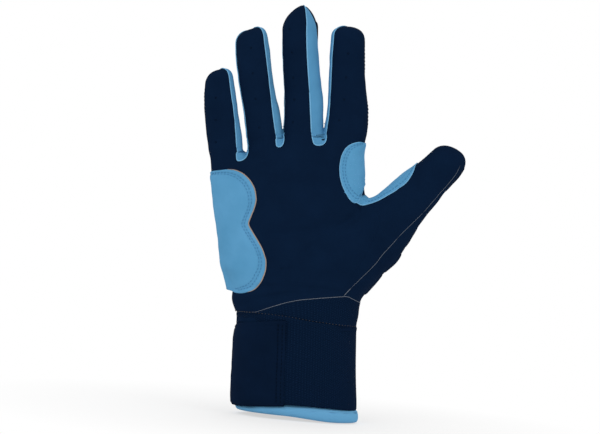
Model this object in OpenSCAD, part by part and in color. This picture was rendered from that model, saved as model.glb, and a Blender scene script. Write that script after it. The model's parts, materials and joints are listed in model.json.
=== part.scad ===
// Hockey-style training glove, right hand, standing on its open cuff with the fingers up.
// Z is up, the palm faces -Y and the thumb points to +X. All lengths are in millimetres.
// Every soft panel is a skin between two offset surfaces that run over one hand shape.

/* [Cuff] */
// Width of the cuff band across the wrist
cuff_w = 72; // [69:1:76]
// Depth of the cuff band from palm side to back
cuff_d = 48; // [45:1:52]
// Height of the top edge of the cuff band
cuff_h = 60.7; // [57:0.1:64]
// Wall of the cuff band
cuff_wall = 2; // [1.6:0.1:2.4]
// Height of the light sleeve hem that shows under the band
hem_h = 5.5; // [4:0.5:7]
// Thickness of the closing flap
flap_t = 1.4; // [1.2:0.1:1.8]

/* [Hand] */
// Palm width just under the fingers
hand_w = 94; // [90:1:99]
// Length from the top of the cuff to the middle fingertip
hand_l = 194; // [186:1:202]
// Spread of the thumb from the long axis, in degrees
thumb_lean = 40; // [38:1:42]

/* [Fingers] */
// Index finger stall length
index_len = 68.5; // [66:0.5:71]
// Middle finger stall length
middle_len = 81; // [78:0.5:84]
// Ring finger stall length
ring_len = 69.5; // [67:0.5:72]
// Little finger stall length
little_len = 51; // [49:0.5:53]
// Thumb stall length beyond its base
thumb_len = 50; // [48:0.5:52]
// Depth of a finger stall over its width
stall_depth = 0.84; // [0.8:0.01:0.88]

/* [Materials] */
// Palm leather thickness
leather_t = 1.2; // [1:0.1:1.4]
// Stretch fabric and gusset thickness
fabric_t = 1.4; // [1.2:0.1:1.6]
// Foam pad thickness at its crown
foam_t = 4.2; // [3.4:0.1:5]
// Applied patch thickness
patch_t = 1.0; // [0.8:0.1:1.2]
// Gap left along a sewn seam
seam = 0.3; // [0.2:0.05:0.4]

/* [Hidden] */
navy = [0.043, 0.118, 0.22];
dark = [0.06, 0.075, 0.11];
blue = [0.353, 0.608, 0.769];
knit = [0.13, 0.19, 0.28];
kx = hand_w / 94;
kz = hand_l / 194;
shear_x = -0.07;                 // lean of the cuff towards the little finger, mm per mm
sleeve_r = cuff_w / 2 - cuff_wall - 0.1;
loop_r = cuff_w / 2 + 0.1;
hem_r = cuff_w / 2 + 0.6;
hook_r = loop_r + 0.7 + 0.35;
flap_r = hook_r + 0.6 + 0.05;
function zz(z) = cuff_h + 0.3 + (z - 61) * kz;

// Finger tables: 0 index, 1 middle, 2 ring, 3 little, 4 thumb.
FB = [[14.8, 176], [-12.6, 174], [-35.6, 170], [-59, 160], [54.6, 135.9]];
FL = [-3.2, -3.7, -10.6, -8, thumb_lean];
LEN = [index_len, middle_len, ring_len, little_len, thumb_len];
LEN0 = [68.5, 81, 69.5, 51, 50];
HW = [
  [[-5, 12.5], [0, 12.4], [20, 12], [38, 11.1], [80, 10.8]],
  [[-5, 11.2], [0, 11.2], [20, 11.6], [40, 11.5], [60, 11], [99, 11]],
  [[-5, 10.5], [0, 10.5], [20, 10.7], [40, 10.7], [80, 10.2]],
  [[-5, 10.3], [0, 10.3], [15, 10.4], [27, 9.9], [60, 9]],
  [[-60, 21.5], [-38, 21.7], [-24, 21], [-14.8, 18.9], [-5, 16.1], [2, 15.5],
   [11, 14.5], [17, 14.1], [24, 12.9], [60, 12]]];
DR = [stall_depth, stall_depth, stall_depth, stall_depth, stall_depth - 0.04];
// Stations where the panels of a stall change: base, lower, mid, upper.
ST = [[0, 15, 31, 46], [0, 16, 36, 52], [0, 15, 31, 46], [0, 13, 22, 35], [-14.5, -1, 12, 25]];
// Seam angles from the middle of the palm side: gusset end, front end (both on the
// little-finger side), then front end, gusset end on the thumb side.
SA = [[-105, -55, 80, 80], [-140, -87, 22, 85], [-105, -60, 42, 105], [-80, -80, 40, 105],
      [-88, -88, 88, 88]];
function kf(k) = LEN[k] / LEN0[k];
function st(k, i) = ST[k][i] * (k == 4 && i == 0 ? 1 : kf(k));

function unit(v) = v / max(norm(v), 0.000001);
function spow(v, e) = sign(v) * pow(abs(v), e);
// Point of the hand plane: base b, lean l, distance s along the stall, n across it.
function at(b, l, s, n, y) =
  [b[0] * kx + s * sin(l) + n * cos(l), y, zz(b[1]) + s * cos(l) - n * sin(l)];
function tip(k, s) = let (w = lookup(s, HW[k]), s1 = LEN[k] - 0.95 * w)
  s <= s1 ? 1 : sqrt(max(0.012, 1 - pow((s - s1) / (LEN[k] - s1), 2)));
function stall(k, s, f, o = 0) = let (w = lookup(s, HW[k]) * tip(k, s), a = max(w + o, 0.3),
    b = max(w * DR[k] + o, 0.3))
  at(FB[k], FL[k], s > LEN[k] - 3 ? s + o : s, a * spow(sin(f), 0.88), -b * spow(cos(f), 0.88));

// Outward normal of a grid of points; rows run up, columns run with the angle.
function held(P, L, i, j) = i < len(P) && (L == undef || j <= max(L[i - 1], L[min(i, len(P) - 2)]));
function normal_at(P, L, wrap, i, j) = let (c = len(P[0]),
    up = P[held(P, L, i + 1, j) ? i + 1 : i][j] - P[max(i - 1, 0)][j],
    right = wrap ? P[i][(j + 1) % c] - P[i][(j + c - 1) % c]
                 : P[i][min(j + 1, c - 1)] - P[i][max(j - 1, 0)])
  unit(cross(right, up));

// A closed skin from offset o to offset o + t over the grid P. T scales t point by point.
// L limits the cells of each row; flip turns the outside round; wrap closes it to a tube.
// A point on the outline of the hand keeps its offset in the plane of the hand.
module skin(P, o, t, T = undef, L = undef, flip = false, wrap = false) {
  sg = flip ? -1 : 1;
  N = [for (i = [0:len(P) - 1]) [for (j = [0:len(P[0]) - 1])
    let (n = sg * normal_at(P, L, wrap, i, j))
    !wrap && abs(P[i][j][1]) <= seam * 0.6 ? unit([n[0], 0, n[2]]) : n]];
  low = [for (i = [0:len(P) - 1]) [for (j = [0:len(P[0]) - 1]) P[i][j] + N[i][j] * o]];
  high = [for (i = [0:len(P) - 1]) [for (j = [0:len(P[0]) - 1])
    P[i][j] + N[i][j] * (o + t * (T == undef ? 1 : T[i][j]))]];
  between(low, high, L, flip, wrap);
}
// The closed solid between two point grids of the same size.
module between(low, high, L = undef, flip = false, wrap = false) {
  r = len(low);
  c = len(low[0]);
  n = r * c;
  cells = wrap ? c : c - 1;
  function is_cell(i, j) = i >= 0 && i < r - 1 && (wrap || j >= 0)
    && j < (L == undef ? cells : L[i]);
  function q(a, b, d, e) = flip ? [[a, e, d], [a, d, b]] : [[a, b, d], [a, d, e]];
  F = [for (i = [0:r - 2]) for (j = [0:cells - 1]) if (is_cell(i, j))
    let (k = (j + 1) % c, a = i * c + j, b = (i + 1) * c + j, d = (i + 1) * c + k, e = i * c + k)
    each concat(
      q(n + a, n + b, n + d, n + e), q(a, e, d, b),
      wrap || is_cell(i, j - 1) ? [] : q(a, b, n + b, n + a),
      wrap || is_cell(i, j + 1) ? [] : q(n + e, n + d, d, e),
      is_cell(i + 1, j) ? [] : q(n + d, n + b, b, d),
      is_cell(i - 1, j) ? [] : q(n + a, n + e, e, a))];
  polyhedron(points = [for (row = low) each row, for (row = high) each row], faces = F,
             convexity = 8);
}

// Pad crown: thin at the edges, full in the middle.
function crown(nr, nc, lo) = [for (i = [0:nr]) [for (j = [0:nc])
  lo + (1 - lo) * (1 - pow(abs(2 * i / nr - 1), 3)) * (1 - pow(abs(2 * j / nc - 1), 3))]];

// Stall panels. Stations for a straight run, or with a rounded end at the tip.
function run(a, b, nr) = [for (i = [0:nr]) a + (b - a) * i / nr];
function tip_run(k, a) = let (L = LEN[k], w = lookup(L - 9, HW[k]), e = L - 0.95 * w)
  [a, (a + e) / 2, e, e + 0.5 * (L - e), e + 0.8 * (L - e), e + 0.95 * (L - e), L - 0.05];
module panel(k, S, f0, f1, nc, o, t, T = undef) between(
  [for (s = S) [for (j = [0:nc]) stall(k, s, f0 + (f1 - f0) * j / nc, o)]],
  [for (i = [0:len(S) - 1]) [for (j = [0:nc])
    stall(k, S[i], f0 + (f1 - f0) * j / nc, o + t * (T == undef ? 1 : T[i][j]))]]);
module tube(k, a, b, nr) let (R = run(a, b, nr)) between(
  [for (s = R) [for (j = [0:19]) stall(k, s, j * 18, -leather_t)]],
  [for (s = R) [for (j = [0:19]) stall(k, s, j * 18)]], wrap = true);
ga = 1.3;                        // half a seam, as an angle
module flex(k, i) tube(k, st(k, 2 * i) + seam / 2, st(k, 2 * i + 1) - seam / 2, 3);
module front_lower(k) color(navy)
  panel(k, run(st(k, 1) + seam / 2, st(k, 2) - seam / 2, 2), SA[k][1] + ga, SA[k][2] - ga, 7,
        -leather_t, leather_t);
module front_upper(k) color(navy)
  panel(k, tip_run(k, st(k, 3) + seam / 2), SA[k][1] + ga, SA[k][2] - ga, 7, -leather_t, leather_t);
module back_lower(k) color(navy)
  panel(k, run(st(k, 1) + seam / 2, st(k, 2) - seam / 2, 2), SA[k][3] + ga, 360 + SA[k][0] - ga, 7,
        -fabric_t, fabric_t);
module back_upper(k) color(navy)
  panel(k, tip_run(k, st(k, 3) + seam / 2), SA[k][3] + ga, 360 + SA[k][0] - ga, 7,
        -fabric_t, fabric_t);
module gussets(k, S) color(blue) {
  if (SA[k][1] > SA[k][0]) panel(k, S, SA[k][0] + ga, SA[k][1] - ga, 3, -fabric_t, fabric_t);
  if (SA[k][3] > SA[k][2]) panel(k, S, SA[k][2] + ga, SA[k][3] - ga, 3, -fabric_t, fabric_t);
}
module gusset_lower(k) gussets(k, run(st(k, 1) + seam / 2, st(k, 2) - seam / 2, 2));
module gusset_upper(k) gussets(k, tip_run(k, st(k, 3) + seam / 2));
module stall_pad(k, a, b) let (m = (SA[k][3] + 360 + SA[k][0]) / 2, h = 50)
  color(dark) panel(k, run(a, b, 5), m - h, m + h, 6, 0.4, foam_t, crown(5, 6, 0.2));
module pad_lower(k) stall_pad(k, st(k, 1) + 0.6, st(k, 2) - 0.6);
module pad_upper(k) stall_pad(k, st(k, 3) + 0.6, LEN[k] - 0.6 * lookup(LEN[k] - 9, HW[k]));

// Palm grid. Columns 0-24 run from the little finger to the index finger, 25-30 on to the thumb.
PF = [-90, -62, -31, 0, 31, 62];
TF = [-90, -62, -31, 0, 31, 62, 90];
RX = [[-52, 84, 14, 84, 41, 84], [-55.3, 93, 16, 93, 46.2, 91.5],
      [-58, 106, 19, 106, 51.5, 98.5], [-61.3, 122, 23, 121, 56.5, 106],
      [-64, 139, 30.6, 136.7, 59.6, 112.4], [-65.3, 147.5, 30, 150], [-66.8, 154, 29.4, 163]];
PL = [[84, -52], [93, -55.3], [106, -58], [122, -61.3], [139, -64], [147, -65.3], [176, -68]];
PR = [[84, 41], [93, 42], [106, 41], [122, 38], [137, 31.8], [150, 30.2], [163, 29.4], [180, 28]];
PD = [[84, 20.4], [93, 18.5], [106, 17], [122, 16], [140, 15], [150, 14], [163, 12.4], [180, 10]];
// Lowest point of each gap between the fingers, and where it lies across the hand.
CR = [[-47.6, 155.4], [-24.9, 165.6], [0.4, 168.6]];
function palm_depth(x, z) = let (a = lookup(z, PL), b = lookup(z, PR), u = (2 * x - a - b) / (b - a))
  abs(u) >= 1 ? 0 : lookup(z, PD) * pow(1 - pow(abs(u), 2.5), 0.4);
function thumb_depth(x, z) = let (dx = x - FB[4][0], dz = z - FB[4][1],
    s = dx * sin(FL[4]) + dz * cos(FL[4]), n = dx * cos(FL[4]) - dz * sin(FL[4]),
    w = lookup(s, HW[4]))
  s > -12 || abs(n) >= w ? 0 : w * DR[4] * sqrt(1 - n * n / w / w);
function depth(x, z) = pow(pow(palm_depth(x, z), 4) + pow(thumb_depth(x, z), 4), 0.25);
// Front of the finger roots, one point for each of columns 0-24.
function root(j, b) = let (m = j % 6, k = j == 24 ? 0 : 3 - floor(j / 6), s = b > 0 ? 1 : -1)
  j == 0 ? stall(3, -seam / 2, -90) + [0, s * seam / 2, 0]
  : j == 24 ? stall(0, -seam / 2, 90) + [0, s * seam / 2, 0]
  : m == 0 ? [CR[floor(j / 6) - 1][0] * kx, s * 4.2, zz(CR[floor(j / 6) - 1][1] - 1.2)]
  : let (p = stall(k, -seam / 2, PF[m] == undef ? 0 : [0, -62, -31, 0, 31, 62][m])) [p[0], s * abs(p[1]), p[2]];
R0 = root(0, -1)[0];
R1 = root(24, -1)[0];
function frac(j) = (root(j, -1)[0] - R0) / (R1 - R0);
function mix(a, b, t) = a + (b - a) * t;
function palm_point(i, j, b) = let (s = b > 0 ? 1 : -1, m = min(i, 6))
  i == 7 ? root(min(j, 24), b)
  : let (v = RX[m], th = j > 24 && i < 5,
      g = th ? (1 + sin(TF[j - 24])) / 2 : frac(min(j, 24)),
      x = th ? mix(v[2], v[4], g) : mix(v[0], v[2], g),
      z = th ? mix(v[3], v[5], g) : mix(v[1], v[3], g),
      e = j == 0 || j == 30 || (j >= 24 && i > 4) || (j == 24 && i == 4),
      d = e ? seam / 2 : max(0.6, depth(x, z)) * (b > 0 ? 0.97 : 1),
      q = i == 6 && !e ? mix(d, abs(root(min(j, 24), b)[1]), 0.5) : d,
      p = stall(4, -14.8, TF[max(j - 24, 0)]))
    th && i == 4 && !e ? [p[0], s * abs(p[1]), p[2]] : [x * kx, s * q, zz(z)];
GF = [for (i = [0:7]) [for (j = [0:30]) palm_point(i, j, -1)]];
GB = [for (i = [0:7]) [for (j = [0:30]) palm_point(i, j, 1)]];
LIM = [30, 30, 30, 30, 24, 24, 24];
function on(G, i, j) = let (a = floor(i), c = floor(j), p = min(a + 1, 7), q = min(c + 1, 30),
    u = i - a, v = j - c)
  mix(mix(G[a][c], G[a][q], v), mix(G[p][c], G[p][q], v), u);
// A patch on the palm grid: rows from table E of [row, first column, last column].
module patch(G, E, nc, o, t, T = undef, flip = false)
  skin([for (e = E) [for (j = [0:nc]) on(G, e[0], mix(e[1], e[2], j / nc))]], o, t, T, flip = flip);

module palm_leather() color(navy) skin(GF, -leather_t, leather_t, L = LIM);
module hand_back() color(navy) skin(GB, -fabric_t, fabric_t, L = LIM, flip = true);
module heel_pad() color(blue)
  patch(GF, [[0.2, 0.7, 6.5], [0.5, 0.7, 9.4], [1, 0.7, 10.6], [1.6, 0.7, 9.6], [2.2, 0.7, 8],
    [2.8, 0.7, 7.2], [3.3, 0.7, 7.8], [3.8, 0.7, 7.4], [4.3, 0.7, 6], [4.6, 0.7, 4.4]],
    7, 0.7, patch_t);
module web_patch() color(blue)
  patch(GF, [[4.25, 22.6, 23.4], [4.6, 21.5, 23.4], [5, 20.8, 23.4], [5.5, 20.4, 23.4],
    [6, 20.6, 23.4], [6.4, 21.2, 23.4], [6.8, 22, 23.4]], 4, 0.7, patch_t);
module finger_crotches() color(blue) for (g = [0:2]) let (a = 3 - g, b = 2 - g,
    p = stall(a, -seam, 90), q = stall(b, -seam, -90), c = [CR[g][0] * kx, 0, zz(CR[g][1])])
  skin([for (y = [-3.3, -1.5, 1.5, 3]) [for (t = [-1:0.25:1])
    let (e = t < 0 ? p : q, w = abs(t), s = sin(90 * w))
    [mix(c[0], e[0], s), y, mix(c[2], e[2] - 0.2, 1 - cos(90 * w))]]], -fabric_t, fabric_t);
// Padded back: a knuckle roll over each finger root and two rows of blocks below it.
module back_pads() color(dark) for (k = [0:3]) let (a = 0.45 + 6 * k, b = 5.55 + 6 * k) {
  for (r = [[4.25, 6.7], [2.2, 4], [0.35, 1.95]])
    patch(GB, [for (i = run(r[0], r[1], 5)) [i, a, b]], 6, 0.8, foam_t, crown(5, 6, 0.2),
          flip = true);
  // Two blocks on the back of the thumb root.
  if (k == 0) for (r = [[2.6, 3.8], [1.3, 2.45]])
    patch(GB, [for (i = run(r[0], r[1], 5)) [i, 25.2, 29.6]], 6, 0.8, foam_t, crown(5, 6, 0.2),
          flip = true);
}

// Wrist: a soft sleeve between the cuff and the hand, with a knitted wedge on the palm side.
WR = [[61.2, -39.8, 31.4, 23.4], [66, -43.5, 32.8, 22.4], [71, -46.2, 33.4, 21.6],
      [77, -48.4, 35.2, 21], [83.7, -51.8, 40.8, 20.5]];
function wl(z, c) = lookup(z, [for (w = WR) [w[0], w[c]]]);
function wrist(z, f, o = 0) = let (a = wl(z, 1), b = wl(z, 2), d = wl(z, 3))
  [((a + b) / 2 + ((b - a) / 2 + o) * spow(sin(f), 0.88)) * (z > 62 ? kx : 1),
   -(d + o) * spow(cos(f), 0.88), zz(z)];
module wrist_flex() color(navy)
  skin([for (z = [61.2, 64, 67.5, 71, 75, 79, 83.7]) [for (j = [0:31]) wrist(z, j * 11.25)]],
       -fabric_t, fabric_t, wrap = true);
module wrist_wedge() color(knit)
  skin([for (i = [0:3]) [for (j = [0:7]) let (f = -42 + 102 * j / 7)
    wrist(mix(62.2, 64.4 + 12.4 * j / 7, i / 3), f)]], 0.4, patch_t);

// Cuff: oval tubes that lean a little towards the little finger.
module oval_ring(w, d, t) difference() {
  scale([w, d]) circle(r = 1, $fn = 96);
  scale([w - t, d - t]) circle(r = 1, $fn = 96);
}
module lean() multmatrix([[1, 0, shear_x, 0], [0, 1, 0, 0], [0, 0, 1, 0], [0, 0, 0, 1]]) children();
cd = (cuff_d - cuff_w) / 2;      // half depth less half width
module oval_tube(r, t, z0, z1) lean() translate([0, 0, z0]) linear_extrude(z1 - z0)
  oval_ring(r, r + cd, t);
module cuff_band() color(navy) oval_tube(cuff_w / 2, cuff_wall, hem_h + 0.6, cuff_h);
module cuff_sleeve() color(blue) {
  linear_extrude(hem_h) difference() {
    polygon(oval(hem_r, hem_r + cd));
    polygon(oval(hem_r - 3.8, hem_r - 3.8 + cd));
  }
  translate([shear_x * hem_h, 0, hem_h - 0.01]) multmatrix([[1, 0, shear_x, 0], [0, 1, 0, 0],
    [0, 0, 1, 0], [0, 0, 0, 1]]) linear_extrude(cuff_h - hem_h - 0.6)
    oval_ring(sleeve_r, sleeve_r + cd, fabric_t);
}
function oval(w, d) = [for (i = [0:95]) [w * cos(i * 3.75), d * sin(i * 3.75)]];
// The part of an oval tube between x0 and x1 on the palm side.
module oval_piece(r, t, z0, z1, x0, x1) intersection() {
  oval_tube(r, t, z0, z1);
  lean() translate([x0, -cuff_d, z0 - 1]) cube([x1 - x0, cuff_d - 1.5, z1 - z0 + 2]);
}
flap_z0 = hem_h + 3.5;
flap_z1 = cuff_h - 2.2;
module cuff_flap() color(navy)
  oval_piece(flap_r + flap_t, flap_t, flap_z0, flap_z1, -cuff_w, -3);
module flap_hook() color(dark)
  oval_piece(hook_r + 0.6, 0.6, flap_z0 + 6, flap_z1 - 6, -cuff_w * 0.36, -5);
module band_loop() color(knit)
  oval_piece(loop_r + 0.7, 0.7, flap_z0 + 4, flap_z1 - 4, -cuff_w * 0.4, -3);

module index_base_flex() color(navy) flex(0, 0);
module index_front_lower() front_lower(0);
module index_gusset_lower() gusset_lower(0);
module index_back_lower() back_lower(0);
module index_pad_lower() pad_lower(0);
module index_mid_flex() color(navy) flex(0, 1);
module index_front_upper() front_upper(0);
module index_gusset_upper() gusset_upper(0);
module index_back_upper() back_upper(0);
module index_pad_upper() pad_upper(0);
module middle_base_flex() color(navy) flex(1, 0);
module middle_front_lower() front_lower(1);
module middle_gusset_lower() gusset_lower(1);
module middle_back_lower() back_lower(1);
module middle_pad_lower() pad_lower(1);
module middle_mid_flex() color(navy) flex(1, 1);
module middle_front_upper() front_upper(1);
module middle_gusset_upper() gusset_upper(1);
module middle_back_upper() back_upper(1);
module middle_pad_upper() pad_upper(1);
module ring_base_flex() color(navy) flex(2, 0);
module ring_front_lower() front_lower(2);
module ring_gusset_lower() gusset_lower(2);
module ring_back_lower() back_lower(2);
module ring_pad_lower() pad_lower(2);
module ring_mid_flex() color(navy) flex(2, 1);
module ring_front_upper() front_upper(2);
module ring_gusset_upper() gusset_upper(2);
module ring_back_upper() back_upper(2);
module ring_pad_upper() pad_upper(2);
module little_base_flex() color(navy) flex(3, 0);
module little_front_lower() front_lower(3);
module little_gusset_lower() gusset_lower(3);
module little_back_lower() back_lower(3);
module little_pad_lower() pad_lower(3);
module little_mid_flex() color(navy) flex(3, 1);
module little_front_upper() front_upper(3);
module little_gusset_upper() gusset_upper(3);
module little_back_upper() back_upper(3);
module little_pad_upper() pad_upper(3);
module thumb_base_flex() color(navy) flex(4, 0);
module thumb_front_lower() front_lower(4);
module thumb_back_lower() back_lower(4);
module thumb_mid_flex() color(navy) flex(4, 1);
module thumb_front_upper() front_upper(4);
module thumb_back_upper() back_upper(4);
module thumb_pad_upper() pad_upper(4);

palm_leather();
hand_back();
heel_pad();
web_patch();
finger_crotches();
back_pads();
wrist_flex();
wrist_wedge();
cuff_band();
cuff_sleeve();
cuff_flap();
flap_hook();
band_loop();
index_base_flex();
index_front_lower();
index_gusset_lower();
index_back_lower();
index_pad_lower();
index_mid_flex();
index_front_upper();
index_gusset_upper();
index_back_upper();
index_pad_upper();
middle_base_flex();
middle_front_lower();
middle_gusset_lower();
middle_back_lower();
middle_pad_lower();
middle_mid_flex();
middle_front_upper();
middle_gusset_upper();
middle_back_upper();
middle_pad_upper();
ring_base_flex();
ring_front_lower();
ring_gusset_lower();
ring_back_lower();
ring_pad_lower();
ring_mid_flex();
ring_front_upper();
ring_gusset_upper();
ring_back_upper();
ring_pad_upper();
little_base_flex();
little_front_lower();
little_gusset_lower();
little_back_lower();
little_pad_lower();
little_mid_flex();
little_front_upper();
little_gusset_upper();
little_back_upper();
little_pad_upper();
thumb_base_flex();
thumb_front_lower();
thumb_back_lower();
thumb_mid_flex();
thumb_front_upper();
thumb_back_upper();
thumb_pad_upper();
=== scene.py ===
"""Right-hand hockey glove, standing on its cuff with the palm towards -Y.

Every soft piece is a skin over one closed hand shape. The shape is a field that is
negative inside: smooth unions of tapered oval limbs. A piece is a grid of rays from
inside the hand, each ended where the field is zero, then given folds and thickness.
Lengths are in millimetres until Part.piece() turns them into metres.

A stall is the glove's tube for one finger or the thumb. A station is the distance along
a stall's axis from its base. Angles round a stall are in degrees: 0 looks out of the
palm side, 90 to the right, where +X is, and 180 out of the back.
"""
import json
import math

import bpy
import numpy as np
from mathutils import Matrix, Vector


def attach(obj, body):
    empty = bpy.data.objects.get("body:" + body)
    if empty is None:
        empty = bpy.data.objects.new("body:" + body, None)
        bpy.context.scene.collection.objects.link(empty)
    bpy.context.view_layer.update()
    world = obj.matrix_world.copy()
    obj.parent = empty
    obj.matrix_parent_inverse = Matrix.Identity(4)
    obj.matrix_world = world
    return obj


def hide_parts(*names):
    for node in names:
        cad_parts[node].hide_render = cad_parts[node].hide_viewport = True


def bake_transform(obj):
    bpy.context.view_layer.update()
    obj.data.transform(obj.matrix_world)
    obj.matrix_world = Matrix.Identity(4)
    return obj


MM = 0.001
FRONT, BACK = -1, 1  # the two sides of the hand along Y
LEATHER, CLOTH = 1.1, 0.8  # thickness of the leather and of the blue cloth

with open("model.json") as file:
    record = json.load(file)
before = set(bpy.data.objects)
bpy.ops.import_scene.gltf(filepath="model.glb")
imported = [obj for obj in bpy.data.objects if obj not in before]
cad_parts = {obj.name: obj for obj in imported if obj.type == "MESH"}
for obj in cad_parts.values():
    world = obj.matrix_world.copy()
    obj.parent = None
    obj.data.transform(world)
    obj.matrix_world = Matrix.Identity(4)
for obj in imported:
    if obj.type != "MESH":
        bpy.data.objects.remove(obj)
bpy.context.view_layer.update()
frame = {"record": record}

# ---------------------------------------------------------------- curves and tables


def curve(knots, soft=3.0):
    """A table of (position, value) as a function, with its corners rounded over soft mm.

    The straight lines between the knots are sampled and smeared with a bell curve.
    """
    step, reach, half = 0.5, 12, 24
    k = np.asarray(knots, float)
    x = np.arange(k[0, 0] - reach, k[-1, 0] + reach, step)
    v = np.interp(x, k[:, 0], k[:, 1])
    g = np.exp(-0.5 * (np.arange(-half, half + 1) * step / soft) ** 2)
    v = np.convolve(np.pad(v, half, mode="edge"), g / g.sum(), mode="valid")
    return lambda q: np.interp(q, x, v)


def smooth(a, b, x):
    """0 before a, 1 after b, an S between them."""
    t = np.clip((x - a) / (b - a), 0, 1)
    return t * t * (3 - 2 * t)


def spow(v, e):
    """Power e of v that keeps the sign of v."""
    return np.sign(v) * np.abs(v) ** e


def bump_at(x, middle, wide):
    """Bell curve of height 1 at the middle."""
    return np.exp(-(((x - middle) / wide) ** 2))


# Each stall: lean from upright in degrees, length L, depth over width d, twist of the tip
# in degrees, slant and squareness q of the tip, half width w at stations, and extra half
# width fat towards the thumb. The middle tip is a tent: place of its ridge across the
# stall, fall to the left and fall to the right.
STALLS = {
    "index": dict(
        lean=-3.2,
        L=68.3,
        d=0.84,
        twist=-4,
        slant=-0.05,
        q=2.4,
        w=[(-46, 3), (-28, 8), (-12, 11.6), (0, 12.8), (5, 12.4), (10, 11.3)]
        + [(17, 10.9), (24, 10.5), (31, 10.6), (38, 10.6), (52, 10.5), (62, 10.1)],
        fat=[(-12, 0.0), (-5, 0.5), (2, 1.7), (8, 2.9), (14, 3.4), (19, 3.3)]
        + [(24, 2.9), (31, 1.7), (38, 1.2), (50, 0.9), (62, 0.9)],
    ),
    "middle": dict(
        lean=-3.7,
        L=80.6,
        d=0.88,
        twist=26,
        slant=0,
        q=2.3,
        tent=(1.2, 0.43, 0.72),
        w=[(-46, 3), (-28, 7), (-12, 10.2), (0, 10.3), (8, 9.9), (18, 9.8)]
        + [(28, 10.2), (37, 11.0), (44, 11.4), (52, 12.0), (61, 12.6), (75, 12.8)],
        fat=[(-8, 3.4), (2, 4.3), (6, 4.2), (11, 3.7), (16, 4.2), (22, 3.7)]
        + [(29, 2.5), (37, 0.5), (48, -1.2), (61, -3.4), (68, -4.4), (75, -5.6)],
    ),
    "ring": dict(
        lean=-10.6,
        L=68.0,
        d=0.86,
        twist=6,
        slant=0.18,
        q=3.2,
        w=[(-46, 3), (-28, 7), (-12, 9.8), (-3, 9.9), (2, 10.1), (6, 10.0), (11, 9.8)]
        + [(16, 9.8), (21, 10.0), (28, 10.5), (36, 11.1), (47, 11.2), (54, 11.0), (65, 10.2)],
        fat=[(-10, 2.2), (0, 2.6), (6, 2.8), (11, 2.7), (16, 2.4), (21, 1.4)]
        + [(26, 0.2), (31, -0.6), (37, -1.5), (48, -1.5), (57, -1.1), (66, -1.3)],
    ),
    "little": dict(
        lean=-8.0,
        L=50.5,
        d=0.88,
        twist=8,
        slant=0.18,
        q=2.4,
        w=[(-40, 2), (-24, 5.0), (-10, 7.7), (0, 9.3), (6, 9.5)]
        + [(12, 9.9), (20, 10.4), (29, 10.5), (38, 9.7), (46, 8.5)],
        fat=[(-8, 2.2), (-1, 2.8), (4, 2.8), (9, 2.5), (14, 1.4)]
        + [(19, 0.2), (29, -0.9), (37, -0.7), (48, -0.2)],
    ),
    "thumb": dict(
        lean=40.0,
        L=49.2,
        d=0.80,
        twist=0,
        slant=0.14,
        q=2.1,
        w=[(-62, 20.9), (-50, 20.8), (-38, 20.6), (-24, 19.6), (-14.8, 17.5), (-5, 15.3)]
        + [(2, 14.8), (11, 14.2), (17, 13.8), (24, 12.6), (37, 11.5), (46, 10.7)],
        fat=[(-50, 0.2), (-38, 0.5), (-24, 1.4), (-10, 1.2), (2, 0.5), (14, 0.1), (30, 0)],
    ),
}
FINGERS = ["index", "middle", "ring", "little"]
LIMBS = FINGERS + ["thumb"]
# Stations of the knuckle fold and of the middle fold along each stall: from, to, from, to.
FOLD_STATIONS = {
    "index": (0, 15, 31, 46),
    "middle": (0, 16, 36, 52),
    "ring": (0, 15, 31, 46),
    "little": (0, 13, 22, 35),
    "thumb": (-14.5, -1, 12, 25),
}
# Angles of the left gusset's back edge, the front leather's two edges and the right
# gusset's back edge. A gusset of no width is left out.
EDGE_ANGLES = {
    "index": (-112, -59, 96, 96),
    "middle": (-112, -84, 35, 112),
    "ring": (-112, -66, 46, 112),
    "little": (-96, -96, 50, 112),
    "thumb": (-90, -90, 90, 90),
}
HINGE = {j["name"]: [1000 * v for v in j["pos_m"]] for j in frame["record"]["behaviour"]["joints"]}
for name, s in STALLS.items():
    # The CAD model's knuckle hinge lies halfway along the base fold, so it places the stall.
    lean, middle = math.radians(s["lean"]), 0.5 * (FOLD_STATIONS[name][0] + FOLD_STATIONS[name][1])
    x, _, z = HINGE[name + "_knuckle"]
    s["base"] = (x - middle * math.sin(lean), z - middle * math.cos(lean))
    s["width"] = curve(s["w"], 2.5)
    s["extra"] = curve(s["fat"], 3)

# The palm: left and right edge and half depth by height, and upper edge by x.
X_LEFT = curve(
    [(50, -42.8), (58, -41.8), (61, -41.9), (66, -44.2), (70, -46.2), (76, -45.4), (80, -45.8)]
    + [(84, -48.2), (89, -52.4), (99, -54.0), (108, -56.6), (120, -60.1), (130, -61.4)]
    + [(140, -61.3), (145, -61.6), (150, -62.5), (156, -64.2), (165, -66.6)],
    2.0,
)
X_RIGHT = curve(
    [(50, 32.6), (61, 32.0), (67, 33.5), (72, 32.8), (77, 34.4), (84, 37.4), (93, 40.3), (106, 40.0)]
    + [(122, 37.5), (135, 32.6), (143, 30.2), (150, 28.8), (157, 28.0), (165, 28.0), (176, 28)],
    2.5,
)
HALF_DEPTH = curve(
    [(50, 23.6), (61, 23.0), (66, 22.0), (71, 21.2), (77, 20.8), (84, 20.2), (93, 18.6)]
    + [(106, 17), (122, 16), (140, 15.2), (150, 14.2), (163, 12.4), (175, 11)],
    3.0,
)
TOP = curve(
    [(-72, 150), (-66, 152), (-52, 157.6), (-43, 159.4), (-36, 163), (-25.2, 168.6)]
    + [(-12, 171), (0.2, 171.8), (14, 171), (28, 164), (34, 160)],
    2.0,
)

# ---------------------------------------------------------------- the hand field


def smin(a, b, k):
    """The smaller of a and b, with the step between them rounded over k."""
    h = np.maximum(k - np.abs(a - b), 0) / k
    return np.minimum(a, b) - h * h * k / 4


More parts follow.
